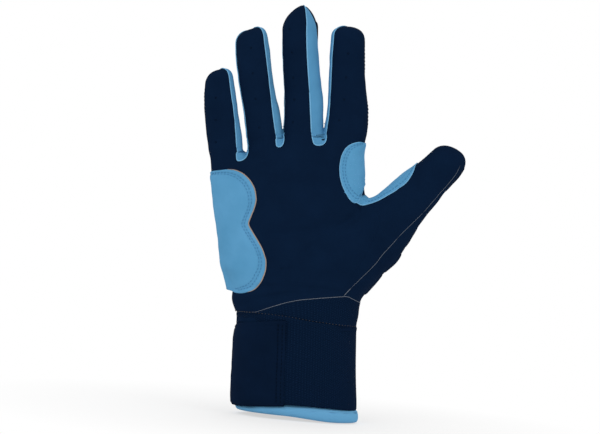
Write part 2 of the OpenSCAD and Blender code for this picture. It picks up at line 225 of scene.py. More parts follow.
def local(name, p):
    """Station, distance across and depth of points p in a stall's own frame."""
    s = STALLS[name]
    lean = math.radians(s["lean"])
    dx, dz = p[:, 0] - s["base"][0], p[:, 2] - s["base"][1]
    return dx * math.sin(lean) + dz * math.cos(lean), dx * math.cos(lean) - dz * math.sin(lean), p[:, 1]


def twist_at(name, a):
    """Turn of a stall's oval at station a, growing from its base towards its tip."""
    s = STALLS[name]
    return math.radians(s["twist"]) * smooth(0, 0.8 * s["L"], a)


def limb(name, p):
    """Field of one stall: a tube of superellipse section, closed by a rounded cap.

    The cap's height over its start adds to the section's radius in a power q, so that a
    high q makes the tip square. The cap's start slants or drops to both sides of a ridge.
    """
    s = STALLS[name]
    a, n, y = local(name, p)
    t = twist_at(name, a)
    n, y = n * np.cos(t) - y * np.sin(t), n * np.sin(t) + y * np.cos(t)
    w = s["width"](a)
    cap = 0.9 * 0.92 * w
    start = s["L"] - cap
    ridge, left, right = s.get("tent", (0, 0, 0))
    drop = np.where(n < ridge, left * (ridge - n), right * (n - ridge))
    drop = drop - s["slant"] * n * smooth(start - 8, start + 4, a)
    u = np.maximum(a - start + drop, 0) / cap
    e = 2.35
    r = (np.abs(n) / (w + s["extra"](a) * (n > 0))) ** e + (np.abs(y) / (w * s["d"])) ** e
    r = (r ** (s["q"] / e) + u ** s["q"]) ** (1 / s["q"])
    f = (r - 1) * w * 0.92
    if name == "thumb":
        f = -smin(-f, a + 58, 6.0)
    return f


def palm(p):
    """Field of the palm: a superellipse section between the edge curves, cut at its top."""
    x, y, z = p.T
    a, b, d = X_LEFT(z), X_RIGHT(z), HALF_DEPTH(z)
    u = (2 * x - a - b) / (b - a)
    r = (np.abs(u) ** 2.6 + np.abs(y / d) ** 2.6) ** (1 / 2.6)
    f = (r - 1) * d * 0.95
    return -smin(-f, -(z - TOP(x)) * 0.8, 9.0)


def field(p, limbs=LIMBS):
    """Negative inside the hand, about the distance in mm near its surface."""
    thumb_merge, finger_merge, palm_merge = 3.2, 1.2, 5.0
    f = palm(p)
    if "thumb" in limbs:
        f = smin(f, limb("thumb", p), thumb_merge)
    fingers = None
    for n in FINGERS:
        if n in limbs:
            h = limb(n, p)
            fingers = h if fingers is None else smin(fingers, h, finger_merge)
    return f if fingers is None else smin(f, fingers, palm_merge)


def solve(o, d, limbs, far=34.0):
    """First point of each ray o + t d outside the hand, and the outward normal there.

    Each ray is walked in even steps up to its limit far, then the first crossing is
    halved in on. A ray that stays inside ends at its limit. The normal is the field's slope.
    """
    steps, halvings, e = 17, 11, 0.35
    shape = o.shape
    o, d = o.reshape(-1, 3), d.reshape(-1, 3)
    d = d / np.linalg.norm(d, axis=1)[:, None]
    hi = np.broadcast_to(np.ravel(far), len(o)).astype(float)
    lo, step, done = np.zeros(len(o)), hi / steps, np.zeros(len(o), bool)
    for k in range(1, steps + 1):
        out = (field(o + d * (step * k)[:, None], limbs) > 0) & ~done
        hi = np.where(out, step * k, hi)
        done |= out
        lo = np.where(done, lo, step * k)
    for _ in range(halvings):
        m = (lo + hi) / 2
        out = field(o + d * m[:, None], limbs) > 0
        hi, lo = np.where(out, m, hi), np.where(out, lo, m)
    p = o + d * ((lo + hi) / 2)[:, None]
    n = np.stack([field(p + v, limbs) - field(p - v, limbs) for v in np.eye(3) * e], 1)
    n /= np.maximum(np.linalg.norm(n, axis=1), 1e-9)[:, None]
    return p.reshape(shape), n.reshape(shape)


# ---------------------------------------------------------------- folds

# Creases of the palm leather: points in the hand plane, depth and half width.
CREASES = [
    ([(34, 132), (20, 123), (4, 117), (-14, 112.5), (-34, 110)], 1.1, 3.6),
    ([(-43, 65.5), (-30, 71.5), (-12, 76.5), (10, 79.5)], 0.8, 1.7),
    ([(31, 165), (28, 178), (27.6, 190)], 0.7, 3.0),
    ([(30, 130), (16, 119), (2, 108), (-8, 98)], 0.5, 1.8),
    ([(-44, 77), (-20, 80), (4, 81), (30, 79)], 0.6, 1.6),
    ([(-52, 152), (-40, 150), (-20, 156), (0, 157), (12, 156)], 0.35, 2.2),
]


def near_line(x, z, line):
    """Distance from points of the hand plane to a polyline, and place along it from 0 to 1."""
    far = 1e9
    best, place, done = np.full(x.shape, far), np.zeros(x.shape), 0.0
    total = sum(math.dist(a, b) for a, b in zip(line, line[1:]))
    for (ax, az), (bx, bz) in zip(line, line[1:]):
        ln = math.hypot(bx - ax, bz - az)
        t = np.clip(((x - ax) * (bx - ax) + (z - az) * (bz - az)) / ln**2, 0, 1)
        d = np.hypot(x - ax - t * (bx - ax), z - az - t * (bz - az))
        hit = d < best
        best, place = np.where(hit, d, best), np.where(hit, (done + t * ln) / total, place)
        done += ln
    return best, place


def waves(p, size, seed):
    """Soft random swell between about -1 and 1, with lumps of the given size.

    The sum of seven sine waves, each with its own direction, length and start.
    """
    count = 7
    r = np.random.default_rng(seed)
    v = np.zeros(p.shape[:-1])
    for _ in range(count):
        k = r.normal(size=3)
        k *= 2 * math.pi / size * r.uniform(0.7, 1.5) / np.linalg.norm(k)
        v += np.sin(p @ k + r.uniform(0, 6.28))
    return v / 2.6


def folds(p, n):
    """How far the leather stands off the hand shape, in mm.

    A slow swell and a fine one, the creases of the palm side with a low roll beside each,
    and a dip along the seam where front and back meet.
    """
    x, y, z = p[..., 0], p[..., 1], p[..., 2]
    v = 0.22 * waves(p, 26, 3) + 0.10 * waves(p, 9, 4)
    front = smooth(-0.2, 0.35, -n[..., 1])
    for line, deep, wide in CREASES:
        d, t = near_line(x, z, line)
        ends = smooth(0, 0.18, t) * smooth(1.0, 0.8, t)
        v = v - deep * front * bump_at(d, 0, wide) * ends
        v = v + 0.35 * deep * front * bump_at(d, 2.2 * wide, 1.2 * wide) * ends
    side = bump_at(y, 0, 1.1) * smooth(0.6, 0.9, np.hypot(n[..., 0], n[..., 2]))
    return v - 0.45 * side


# ---------------------------------------------------------------- charts of rays

OVAL = 0.88  # power of sine and cosine that squares a stall's section a little


def grid(a, b):
    """Both values over a grid whose rows follow a and whose columns follow b."""
    return np.meshgrid(a, b, indexing="ij")


def axis_point(name, a):
    """Points of a stall's axis at stations a."""
    s = STALLS[name]
    lean = math.radians(s["lean"])
    return np.stack([s["base"][0] + a * math.sin(lean), 0 * a, s["base"][1] + a * math.cos(lean)], -1)


def stall_rays(name, a, f):
    """Rays round a stall's axis at stations a and angles f in degrees from the front.

    The direction is that of an oval: powers of sine and cosine, turned by the twist.
    """
    s = STALLS[name]
    lean, t = math.radians(s["lean"]), twist_at(name, a)
    f = np.radians(f)
    n, y = spow(np.sin(f), OVAL), -s["d"] * spow(np.cos(f), OVAL)
    n, y = n * np.cos(t) + y * np.sin(t), -n * np.sin(t) + y * np.cos(t)
    return axis_point(name, a), np.stack([n * math.cos(lean), y, -n * math.sin(lean)], -1)


def around(name):
    """The limbs that can shape a stall's skin."""
    if name == "thumb":
        return ["thumb", "index"]
    k = FINGERS.index(name)
    beside = [FINGERS[i] for i in (k - 1, k + 1) if 0 <= i < len(FINGERS)]
    return [name] + beside + (["thumb"] if k == 0 else [])


def stall_skin(name, a0, a1, f0, f1, step=1.15, cap=False):
    """Points and normals of a stall's skin between two stations and two angles.

    Also returns the stations and angles of its grid. Rows are rays across the axis. With
    a cap the rows crowd towards the tip, and the last ones start from one point on the
    axis and turn up from across it to along it.
    """
    s = STALLS[name]
    rows = np.linspace(a0, a1, max(3, int((a1 - a0) / step) + 1))
    if cap:
        u = np.linspace(0, 1, int((a1 - a0) / step) + 8)
        rows = a0 + (a1 - a0) * (1 - (1 - u) ** 1.35)
    cols = np.linspace(f0, f1, max(4, int(math.radians(f1 - f0) * 12 / step) + 1))
    a, f = grid(rows, cols)
    dome = 9
    top = s["L"] - dome if cap else 999
    lean = math.radians(s["lean"])
    t = np.radians(90 * np.clip((a - top) / dome, 0, 1))[..., None]
    o, d = stall_rays(name, np.minimum(a, top), f)
    d = d * np.cos(t) + np.array([math.sin(lean), 0, math.cos(lean)]) * np.sin(t)
    a = np.where(a > top, top + dome * np.sin(t[..., 0]), a)
    if name == "thumb":
        return solve(o, d, around(name), far=38), a, f
    # Beside a neighbour the skin stops just inside it.
    w = s["width"](np.clip(a, 0, top)) + s["extra"](a) * (np.sin(np.radians(f)) > 0)
    far = (1.08 * w + 1.3) * (1 + 0.4 * np.abs(np.cos(np.radians(f)))) + 6 * (a > top)
    return solve(o, d, around(name), far=far), a, f


def plane_skin(x, z, side, limbs=LIMBS):
    """Skin straight over points of the hand plane y = 0, on its front or back."""
    return solve(np.stack([x, 0 * x, z], -1), np.stack([0 * x, side + 0 * x, 0 * x], -1), limbs)


def left_rays(q, z, r=11.0):
    """Front rays at distance q round the little-finger edge, 0 on the outline, at height z.

    They fan out of a quarter circle of radius r at the edge, then run straight forward.
    """
    xl = X_LEFT(z)
    th = math.pi / 2 - np.minimum(q, r * math.pi / 2) / r
    x = xl + r + np.maximum(q - r * math.pi / 2, 0)
    return np.stack([x, 0 * x, z], -1), np.stack([-np.sin(th), FRONT * np.cos(th), 0 * x], -1)


def left_distance(x, z, r=11.0):
    """Distance q of left_rays for points of the hand plane."""
    xl = X_LEFT(z)
    c = np.clip((xl + r - x) / r, -1, 1)
    return np.where(x < xl + r, r * np.arccos(c), x - xl - r + r * math.pi / 2)


# ---------------------------------------------------------------- meshes


def linear(hexa):
    """Linear colour from an sRGB hex colour."""
    c = [int(hexa[i : i + 2], 16) / 255 for i in (1, 3, 5)]
    return tuple(v / 12.92 if v <= 0.04045 else ((v + 0.055) / 1.055) ** 2.4 for v in c) + (1,)


class Part:
    """Collects grids, tubes and discs that make one named piece."""

    def __init__(self):
        self.v, self.f, self.m, self.uv, self.soft, self.n = [], [], [], [], [], 0

    def add(self, verts, faces, mat=0, uv=None, flat=0):
        """Adds faces, of which the last ones, flat in number, are shaded flat."""
        verts = np.asarray(verts, float).reshape(-1, 3)
        self.v.append(verts)
        self.soft += [True] * (len(faces) - flat) + [False] * flat
        self.f += [tuple(i + self.n for i in f) for f in faces]
        self.m += [mat] * len(faces)
        self.uv.append(np.zeros((len(verts), 2)) if uv is None else np.asarray(uv, float).reshape(-1, 2))
        self.n += len(verts)

    def skin(self, p, n, t, mat=0, uv=None, wrap=False, keep=None):
        """A closed skin: outside p, inside t mm further in along n, walls at its edges.

        wrap joins the last column to the first. keep marks the faces that are there.
        """
        r, c = p.shape[:2]
        t = np.broadcast_to(np.asarray(t, float), (r, c))[..., None]
        inner = p - n * t
        i, j = grid(np.arange(r - 1), np.arange(c if wrap else c - 1))
        k = (j + 1) % c
        a, b, d, e = i * c + j, (i + 1) * c + j, (i + 1) * c + k, i * c + k
        live = np.ones(a.shape, bool) if keep is None else keep
        m = r * c
        q = np.stack([a, e, d, b], -1)[live]
        quads, walls = [q, q[:, ::-1] + m], 0
        pad = np.pad(live, 1)
        if wrap:
            pad[:, 0], pad[:, -1] = pad[:, -2], pad[:, 1]
        sides = {(0, -1): (a, b), (0, 1): (d, e), (1, 0): (b, d), (-1, 0): (e, a)}
        for (di, dj), (u, w) in sides.items():
            beside = pad[1 + di : pad.shape[0] - 1 + di, 1 + dj : pad.shape[1] - 1 + dj]
            edge = live & ~beside
            u, w = u[edge], w[edge]
            quads.append(np.stack([u, w, w + m, u + m], -1))
            walls += len(u)
        both = None if uv is None else np.concatenate([uv.reshape(-1, 2)] * 2)
        verts = np.concatenate([p.reshape(-1, 3), inner.reshape(-1, 3)])
        self.add(verts, np.concatenate(quads).tolist(), mat, both, walls)

    def tube(self, pts, r, mat=0, dash=None, flat=1.0, nrm=None):
        """A thread of radius r through pts, in dashes of (length, gap) if given.

        Rings of six corners round the path, pressed by flat along nrm, shrink at the ends
        by a sixth power, so that each length closes round.
        """
        sides = 6
        pts = np.asarray(pts, float)
        ln = np.r_[0, np.cumsum(np.linalg.norm(np.diff(pts, axis=0), axis=1))]
        if dash is None:
            spans = [(0, ln[-1])]
        else:
            spans = [(a, min(a + dash[0], ln[-1])) for a in np.arange(0.2, ln[-1], sum(dash))]
        ang = np.linspace(0, 2 * math.pi, sides, endpoint=False)
        for a, b in spans:
            if b - a < 0.25:
                continue
            m = max(3, int((b - a) / 1.2) + 2) if dash is None else 4
            s = np.linspace(a, b, m)

            def along(rows):
                return np.stack([np.interp(s, ln, rows[:, i]) for i in range(3)], 1)

            c = along(pts)
            g = np.gradient(c, axis=0)
            g /= np.maximum(np.linalg.norm(g, axis=1), 1e-9)[:, None]
            up = np.tile([0.0, -1, 0], (m, 1)) if nrm is None else along(nrm)
            sd = np.cross(g, up)
            sd /= np.maximum(np.linalg.norm(sd, axis=1), 1e-9)[:, None]
            up = np.cross(sd, g)
            rr = r * np.sqrt(np.clip(1 - (2 * np.linspace(0, 1, m) - 1) ** 6, 0.05, 1))
            wide = np.cos(ang)[None, :, None] * sd[:, None]
            high = flat * np.sin(ang)[None, :, None] * up[:, None]
            ring = c[:, None] + rr[:, None, None] * (wide + high)
            i, j = grid(np.arange(m - 1) * sides, np.arange(sides))
            k = (j + 1) % sides
            fs = np.stack([i + j, i + k, i + sides + k, i + sides + j], -1).reshape(-1, 4).tolist()
            fs += [tuple(range(sides))[::-1], tuple(range((m - 1) * sides, m * sides))]
            self.add(ring.reshape(-1, 3), fs, mat)

    def disc(self, c, n, r, mat):
        """A flat dot of radius r at c, drawn as a low cone sunk at its middle."""
        sides = 12
        n = n / np.linalg.norm(n)
        u = np.cross(n, [0, 0, 1.0])
        u /= np.linalg.norm(u)
        w = np.cross(n, u)
        a = np.linspace(0, 2 * math.pi, sides, endpoint=False)[:, None]
        rim = c + r * (np.cos(a) * u + np.sin(a) * w)
        fan = [(0, 1 + (i + 1) % sides, 1 + i) for i in range(sides)]
        self.add(np.concatenate([[c - n * 0.25], rim]), fan, mat)

    def piece(self, name, mats):
        """The object, at the origin and in metres, with its shape at rest and its weave place."""
        me = bpy.data.meshes.new(name)
        v = np.concatenate(self.v)
        me.from_pydata((v * MM).tolist(), [], self.f)
        me.polygons.foreach_set("material_index", self.m)
        me.polygons.foreach_set("use_smooth", self.soft)
        for m in mats:
            me.materials.append(m)
        # Edges beside the thin walls stay sharp, so the outside keeps its own shading.
        edge, total = np.empty(len(me.loops), int), np.empty(len(self.f), int)
        me.loops.foreach_get("edge_index", edge)
        me.polygons.foreach_get("loop_total", total)
        sharp = np.zeros(len(me.edges), bool)
        sharp[edge[np.repeat(~np.array(self.soft), total)]] = True
        me.attributes.new("sharp_edge", "BOOLEAN", "EDGE").data.foreach_set("value", sharp)
        at = me.attributes.new("rest", "FLOAT_VECTOR", "POINT")
        at.data.foreach_set("vector", v.ravel())
        uv = np.concatenate(self.uv)
        lay = me.attributes.new("place", "FLOAT_VECTOR", "POINT")
        lay.data.foreach_set("vector", np.c_[uv, np.zeros(len(uv))].ravel())
        me.update()
        ob = bpy.data.objects.new(name, me)
        bpy.context.scene.collection.objects.link(ob)
        return ob


# ---------------------------------------------------------------- materials


def node(t, kind, inputs=(), **settings):
    """Adds a node with its settings and links: an input takes a value or another output."""
    n = t.nodes.new(kind)
    for k, v in settings.items():
        if k in n.inputs:
            n.inputs[k].default_value = v
        else:
            setattr(n, k, v)
    for k, v in dict(inputs).items():
        if isinstance(v, bpy.types.NodeSocket):
            t.links.new(v, n.inputs[k])
        else:
            n.inputs[k].default_value = v
    return n


def material(name, colour, rough=0.8, build=None, spec=0.2):
    """A finish on the shader's own sockets; build(tree, shader) adds its pattern."""
    m = bpy.data.materials.new(name)
    m.use_nodes = True
    t = m.node_tree
    b = t.nodes["Principled BSDF"]
    b.inputs["Base Color"].default_value = linear(colour)
    b.inputs["Roughness"].default_value = rough
    b.inputs["Specular IOR Level"].default_value = spec
    m.diffuse_color = linear(colour)
    if build:
        build(t, b)
    return m


def grain(scale, deep, light=None, dark=None, blot=0.05):
    """Fine nap: bumps about 1/scale mm wide and deep mm high.

    With two colours it also drifts between them over blots about 1/blot mm wide.
    """

    def build(t, b):
        at = node(t, "ShaderNodeAttribute", attribute_name="rest").outputs["Vector"]
        fine = node(t, "ShaderNodeTexNoise", {"Vector": at}, Scale=scale, Detail=3.0, Roughness=0.6)
        bump = node(t, "ShaderNodeBump", {"Height": fine.outputs["Fac"]}, Strength=0.5, Distance=deep * MM)
        t.links.new(bump.outputs["Normal"], b.inputs["Normal"])
        if light:
            slow = node(t, "ShaderNodeTexNoise", {"Vector": at}, Scale=blot, Detail=4.0, Roughness=0.55)
            wide = {"Value": slow.outputs["Fac"], "From Min": 0.3, "From Max": 0.7}
            ramp = node(t, "ShaderNodeMapRange", wide)
            blend = {0: ramp.outputs["Result"], 6: linear(dark), 7: linear(light)}
            mix = node(t, "ShaderNodeMix", blend, data_type="RGBA")
            t.links.new(mix.outputs[2], b.inputs["Base Color"])

    return build


def knit(du, dv, deep, light, dark):
    """Ribbed knit: rows of small raised loops, du by dv mm, lighter on their crowns, a painted highlight.

    Height is the size of a half-frequency sine across the ribs times a raised sine along
    them, which shifts by half a loop from one rib to the next.
    """

    def build(t, b):
        at = node(t, "ShaderNodeAttribute", attribute_name="place").outputs["Vector"]
        sep = node(t, "ShaderNodeSeparateXYZ", {0: at})

        def math_(op, x, y=None):
            return node(t, "ShaderNodeMath", {0: x} if y is None else {0: x, 1: y}, operation=op).outputs[0]

        u = math_("MULTIPLY", sep.outputs[0], 2 * math.pi / du)
        v = math_("MULTIPLY", sep.outputs[1], 2 * math.pi / dv)
        rib = math_("SINE", math_("MULTIPLY", u, 0.5))
        loop = math_("ADD", v, math_("MULTIPLY", math_("SIGN", rib), math.pi / 2))
        loop = math_("ADD", math_("MULTIPLY", math_("SINE", loop), 0.5), 0.5)
        high = math_("MULTIPLY", math_("ABSOLUTE", rib), loop)
        bump = node(t, "ShaderNodeBump", {"Height": high}, Strength=0.8, Distance=deep * MM)
        t.links.new(bump.outputs["Normal"], b.inputs["Normal"])
        # Painted highlight: the colour goes lighter towards each loop's crown.
        blend = {0: math_("POWER", high, 3.0), 6: linear(dark), 7: linear(light)}
        mix = node(t, "ShaderNodeMix", blend, data_type="RGBA")
        t.links.new(mix.outputs[2], b.inputs["Base Color"])

    return build


# Napped synthetic suede of the palm: a soft matt navy with hardly a glint.
SUEDE = material("navy_synthetic_suede", "#0A1B33", 0.95, grain(1.3, 0.16, "#0B1E37", "#091A31"), spec=0.02)
# Stretch jersey on the back of the hand: matt, finer and a little darker than the suede.
STRETCH = material("navy_stretch_fabric", "#0A1A31", 0.85, grain(2.0, 0.12, "#0B1D35", "#08172B"), spec=0.02)
# Brushed cloth over the foam pads: soft highlights on the rounded blocks.
QUILT = material("navy_pad_cover", "#0A1B33", 0.8, grain(1.8, 0.12, "#0C1F38", "#08182D"), spec=0.02)
# Laminated cloth of the closing flap: the smoothest and darkest navy.
SMOOTH = material("navy_laminate", "#08182F", 0.9, grain(2.4, 0.06, "#0A1B33", "#08172C"), spec=0.02)
# Dyed microfibre of the heel pad and the web patch: light blue with slow, faint clouds.
BLUE = material("blue_microfibre", "#5A9BC6", 0.8, grain(1.6, 0.10, "#5E9FCA", "#5496C0"), spec=0.12)
# Stretch cloth between the fingers: slightly deeper blue, matt.
GUSSET = material("blue_gusset_fabric", "#5796C0", 0.85, grain(2.2, 0.12, "#5B9BC6", "#518FB9"), spec=0.1)
# Folded edge of the gussets and of the other blue pieces: a painted highlight, paler because the fold
# catches more light.
BLUE_HIGHLIGHT = material("blue_painted_highlight", "#74B0D8", 0.8, grain(2.4, 0.05), spec=0.1)
# Rib knit of the cuff and the wrist wedge, its loops drawn a little coarser than real, with painted
# highlights on their crowns.
KNIT = material("navy_rib_knit", "#0A1A31", 0.95, knit(1.3, 1.05, 0.4, "#122844", "#081930"), spec=0.02)
# Inside of a punched ventilation hole: almost black, the dark lining and painted shade inside the hole.
HOLE_SHADE = material("punched_hole_shade", "#030812", 0.9, spec=0.02)
# Polyester sewing threads: blue, grey, dark navy, navy and tan ones, matt.
THREAD_BLUE = material("blue_thread", "#4785B0", 0.7)
THREAD_GREY = material("grey_thread", "#6C7480", 0.8, spec=0.08)
THREAD_DARK = material("dark_navy_thread", "#050E1C", 0.9, spec=0.02)
THREAD_NAVY = material("navy_thread", "#0F2440", 0.8, spec=0.05)
# Soft binding rolled round the cuff's mouth: light blue, matt, painted paler than the other blue to make up
# for the shade it gets next to the floor.
HEM_PAINTED_LIGHT = material("blue_hem_binding_painted_light", "#68A8D2", 0.85, grain(2.2, 0.12), spec=0.1)
THREAD_TAN = material("tan_thread", "#454446", 0.8, spec=0.1)
# Pricked dots of the palm: a shade lighter than the suede.
FLECK = material("pricked_dots", "#142A45", 0.9, spec=0.05)
# Raw cut edge of the heel pad: undyed brownish grey.
RAW = material("raw_cut_edge", "#A9968A", 0.85)
# Woven loop tape: dark, fuzzy.
LOOP = material("loop_face", "#0C1522", 0.95, grain(1.5, 0.3), spec=0.03)
# Moulded hook tape: darker, with a faint sheen on its stubble.
HOOK = material("hook_face", "#0A111C", 0.85, grain(1.2, 0.3), spec=0.06)

# ---------------------------------------------------------------- helpers for pieces

# The station between the two folds of each stall.
CUT = {name: 0.5 * (FOLD_STATIONS[name][1] + FOLD_STATIONS[name][2]) for name in STALLS}


def bend(ob):
    """Bakes a stall piece's placement into its mesh; the piece is not tied to a body."""
    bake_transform(ob)


def laid(p, n, off=0.0):
    """Points moved out to the folded leather plus off."""
    return p + n * (folds(p, n) + off)[..., None]


def resample(line, m, soft):
    """m even points of a polyline in the hand plane, its corners rounded over soft mm."""
    line = np.asarray(line, float)
    ln = np.r_[0, np.cumsum(np.hypot(*np.diff(line, axis=0).T))]
    s = np.linspace(0, ln[-1], m)
    return tuple(curve(np.c_[ln, line[:, i]], soft)(s) for i in (0, 1))


def cut_line(line, a, b, name):
    """The stretch of a hand-plane line whose stations along a stall lie between a and b."""
    x, z = resample(line, 240, 1.5)
    st = local(name, np.stack([x, 0 * x, z], -1))[0]
    k = (st >= a) & (st <= b)
    return np.stack([x[k], z[k]], -1)


def thread(part, line, mat, r=0.22, off=0.12, limbs=LIMBS):
    """A thread along hand-plane points on the palm side."""
    if len(line) < 3:
        return
    p, n = plane_skin(line[:, 0], line[:, 1], FRONT, limbs)
    part.tube(laid(p, n, off), r, mat, nrm=n, flat=0.7)


def dot(part, x, z, r, mat, off, limbs=LIMBS):
    """A dot of radius r on the palm side over a point of the hand plane."""
    p, n = plane_skin(np.array([[float(x)]]), np.array([[float(z)]]), FRONT, limbs)
    part.disc(laid(p, n, off)[0, 0], n[0, 0], r, mat)


def puff(u, v, sharp=3.2):
    """A crowned cushion over u and v from -1 to 1: flat top, sides that round off."""
    return (np.clip(1 - np.abs(u) ** sharp, 0, 1) * np.clip(1 - np.abs(v) ** sharp, 0, 1)) ** 0.55


# ---------------------------------------------------------------- stalls

# Punched holes of the palm side, in the hand plane.
HOLES = {
    "little": [(-66.3, 192.3), (-65.2, 178.4), (-64.0, 165.0)],
    "ring": [(-47.3, 224.8), (-44.8, 209.2), (-42.0, 193.7), (-38.0, 176.3)],
    "middle": [(-24.6, 238.4), (-21.8, 224.3), (-19.8, 208.8), (-18.0, 195.4), (-17.6, 181.3)],
    "index": [(12.6, 226.5), (12.6, 211.7), (12.6, 198.1), (10.8, 185.2)],
}
# How far below its base each stall's skin runs on into the hand.
ROOT_DEPTH = {"index": 9, "middle": 8, "ring": 14, "little": 4, "thumb": 2}
# Angle of the front edge of the blue strip inside the thumb, by station.
STRIP_EDGE = curve(
    [(-20, -62), (-15, -60), (-11.4, -54), (-6.7, -48.5), (-1.4, -44), (4, -38.5)]
    + [(10.3, -35.5), (13.8, -37), (17.3, -42.4), (21.2, -55), (25.6, -92)],
    1.0,
)
STRIP_ENDS = (-19.8, 25.8)
# Grey seam from the wrist to the thumb tip, in the hand plane.
THUMB_SEAM = [(22.6, 77.7), (27.1, 83.4), (40.6, 99.2), (43.3, 103.8), (54.5, 118.5)]
THUMB_SEAM += [(65.8, 131.3), (76.9, 146.6), (85.3, 157.9), (87.8, 164.4)]
LAP = 1.2  # how far a stall's lower half runs under its upper half


def on_stall(name, p, st):
    """Faces whose points lie on the stall itself, not on its neighbour."""
    reach = 1.3 * STALLS[name]["width"](np.maximum(st, 0)) + 1.5
    far = np.linalg.norm(p - axis_point(name, st), axis=-1) > reach
    return ~(far[:-1, :-1] | far[1:, :-1] | far[:-1, 1:] | far[1:, 1:])


def span(name, part):
    """First and last station of a stall's lower (0) or upper (1) half."""
    low = FOLD_STATIONS[name][0] - ROOT_DEPTH[name]
    return (low, CUT[name] + LAP) if part == 0 else (CUT[name], STALLS[name]["L"] - 0.02)


def sink(name, part, st):
    """How much a lower half dips under the palm at its root and under the upper half."""
    if part:
        return 0 * st
    s0, c = FOLD_STATIONS[name][0], CUT[name]
    return -0.18 * (1 - smooth(s0 - 0.5, s0 + 1.0, st)) - 0.1 * smooth(c, c + LAP, st)


def thumb_strip(fr, part):
    """Blue strip inside the thumb, from behind its edge round to STRIP_EDGE, and its seams."""
    c = CUT["thumb"]
    a, b = (STRIP_ENDS[0], c + LAP) if part == 0 else (c, STRIP_ENDS[1])
    st, q = grid(np.linspace(a, b, int((b - a) / 0.7)), np.linspace(0, 1, 34))
    behind = -100 - 24 * smooth(-19, -6, st)
    o, d = stall_rays("thumb", st, behind + (STRIP_EDGE(st) - behind) * q)
    p, n = solve(o, d, around("thumb"))
    edge = np.minimum((1 - q) * 16, 26 - st)
    lift = 0.1 + 0.55 * smooth(-0.3, 0.9, edge) - 0.16 * bump_at(edge, 2.0, 0.6)
    fr.skin(laid(p, n, lift), n, 0.7, 2)
    # The strip's edge is a tube in the paler blue, a painted highlight along the fold.
    fr.tube(laid(p[:, -1], n[:, -1], 0.35), 0.42, 3, nrm=n[:, -1], flat=0.6)
    o, d = stall_rays("thumb", st[:, 0], STRIP_EDGE(st[:, 0]) - 8)
    p, n = solve(o, d, around("thumb"))
    fr.tube(laid(p, n, 0.72), 0.2, 4, dash=(1.4, 0.7), nrm=n)
    ends = (span("thumb", 0)[0], c) if part == 0 else (c, 50)
    thread(fr, cut_line(THUMB_SEAM, *ends, "thumb"), 5, 0.12, limbs=around("thumb"))


def stall_front(name, part):
    """Palm-side leather of half a stall, with its punched holes."""
    (a, b), (_, f0, f1, _) = span(name, part), EDGE_ANGLES[name]
    word, fold = ("lower", "upper")[part], ("_base_flex", "_mid_flex")[part]
    fr = Part()
    (p, n), st, _ = stall_skin(name, a, b, max(f0 - 4, -97), min(f1 + 30, 97), cap=bool(part))
    fr.skin(laid(p, n, sink(name, part, st)), n, LEATHER, keep=on_stall(name, p, st))
    # Each hole is a near-black disc: painted shade inside the hole over the dark lining.
    for x, z in HOLES.get(name, []):
        if (local(name, np.array([[x, 0, z]]))[0][0] < CUT[name]) == (part == 0):
            dot(fr, x, z, 0.62, 1, 0.07, around(name))
    if name == "thumb":
        thumb_strip(fr, part)
    ob = fr.piece("%s_front_%s" % (name, word), [SUEDE, HOLE_SHADE, BLUE, BLUE_HIGHLIGHT, THREAD_BLUE, THREAD_GREY])
    bend(ob)
    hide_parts("%s_front_%s" % (name, word), name + fold)


def stall_back(name, part):
    """Back fabric of half a stall; the thumb's lower half carries a quilted block."""
    (a, b), word = span(name, part), ("lower", "upper")[part]
    bk = Part()
    (p, n), st, f = stall_skin(name, a, b, 90, 270, cap=bool(part))
    block = 1.0 * puff((st + 10.6) / 9.2, (f - 122) / 52) if (name, part) == ("thumb", 0) else 0
    off = sink(name, part, st) - 0.12 + block
    bk.skin(laid(p, n, off), n, LEATHER, keep=on_stall(name, p, st))
    seam = np.linspace(max(a, FOLD_STATIONS[name][0]), min(b, STALLS[name]["L"] - 4), 60)
    for side in (93.0, 267.0):
        o, d = stall_rays(name, seam, np.full(60, side))
        p, n = solve(o, d, around(name))
        bk.tube(laid(p, n, 0.05), 0.16, 1, dash=(1.5, 0.8), nrm=n)
    ob = bk.piece("%s_back_%s" % (name, word), [STRETCH, THREAD_NAVY])
    bend(ob)
    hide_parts("%s_back_%s" % (name, word))


def stall_gussets(name, part):
    """Blue cloth down both sides of half a finger stall, with a folded front edge."""
    (a, b), (g0, f0, f1, g1) = span(name, part), EDGE_ANGLES[name]
    s0, word = FOLD_STATIONS[name][0], ("lower", "upper")[part]
    a, b, tube_from = (s0 - 2.6, b, s0 + 0.3) if part == 0 else (a, b - 0.3, -99)
    gu = Part()
    for e0, e1, front in ((g0, f0, -1), (f1, g1, 0)):
        if e0 >= e1:
            continue
        (p, n), st, f = stall_skin(name, a, b, e0, e1, step=0.9, cap=bool(part))
        edge = np.abs(f - (e1 if front else e0)) / (e1 - e0)
        lift = 0.30 + 0.22 * bump_at(edge, 0, 0.06) - 0.3 * smooth(0.85, 1, edge)
        if part == 0:
            lift = lift - 0.75 * (1 - smooth(s0 - 2.6, s0 + 2.4, st))
        gu.skin(laid(p, n, lift + sink(name, part, st)), n, CLOTH)
        # The folded front edge is a tube in the paler blue, a painted highlight along the fold.
        k = st[:, front] > tube_from
        gu.tube(laid(p[k, front], n[k, front], 0.42), 0.45, 1, nrm=n[k, front], flat=0.6)
    ob = gu.piece("%s_gusset_%s" % (name, word), [GUSSET, BLUE_HIGHLIGHT])
    bend(ob)
    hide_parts("%s_gusset_%s" % (name, word))


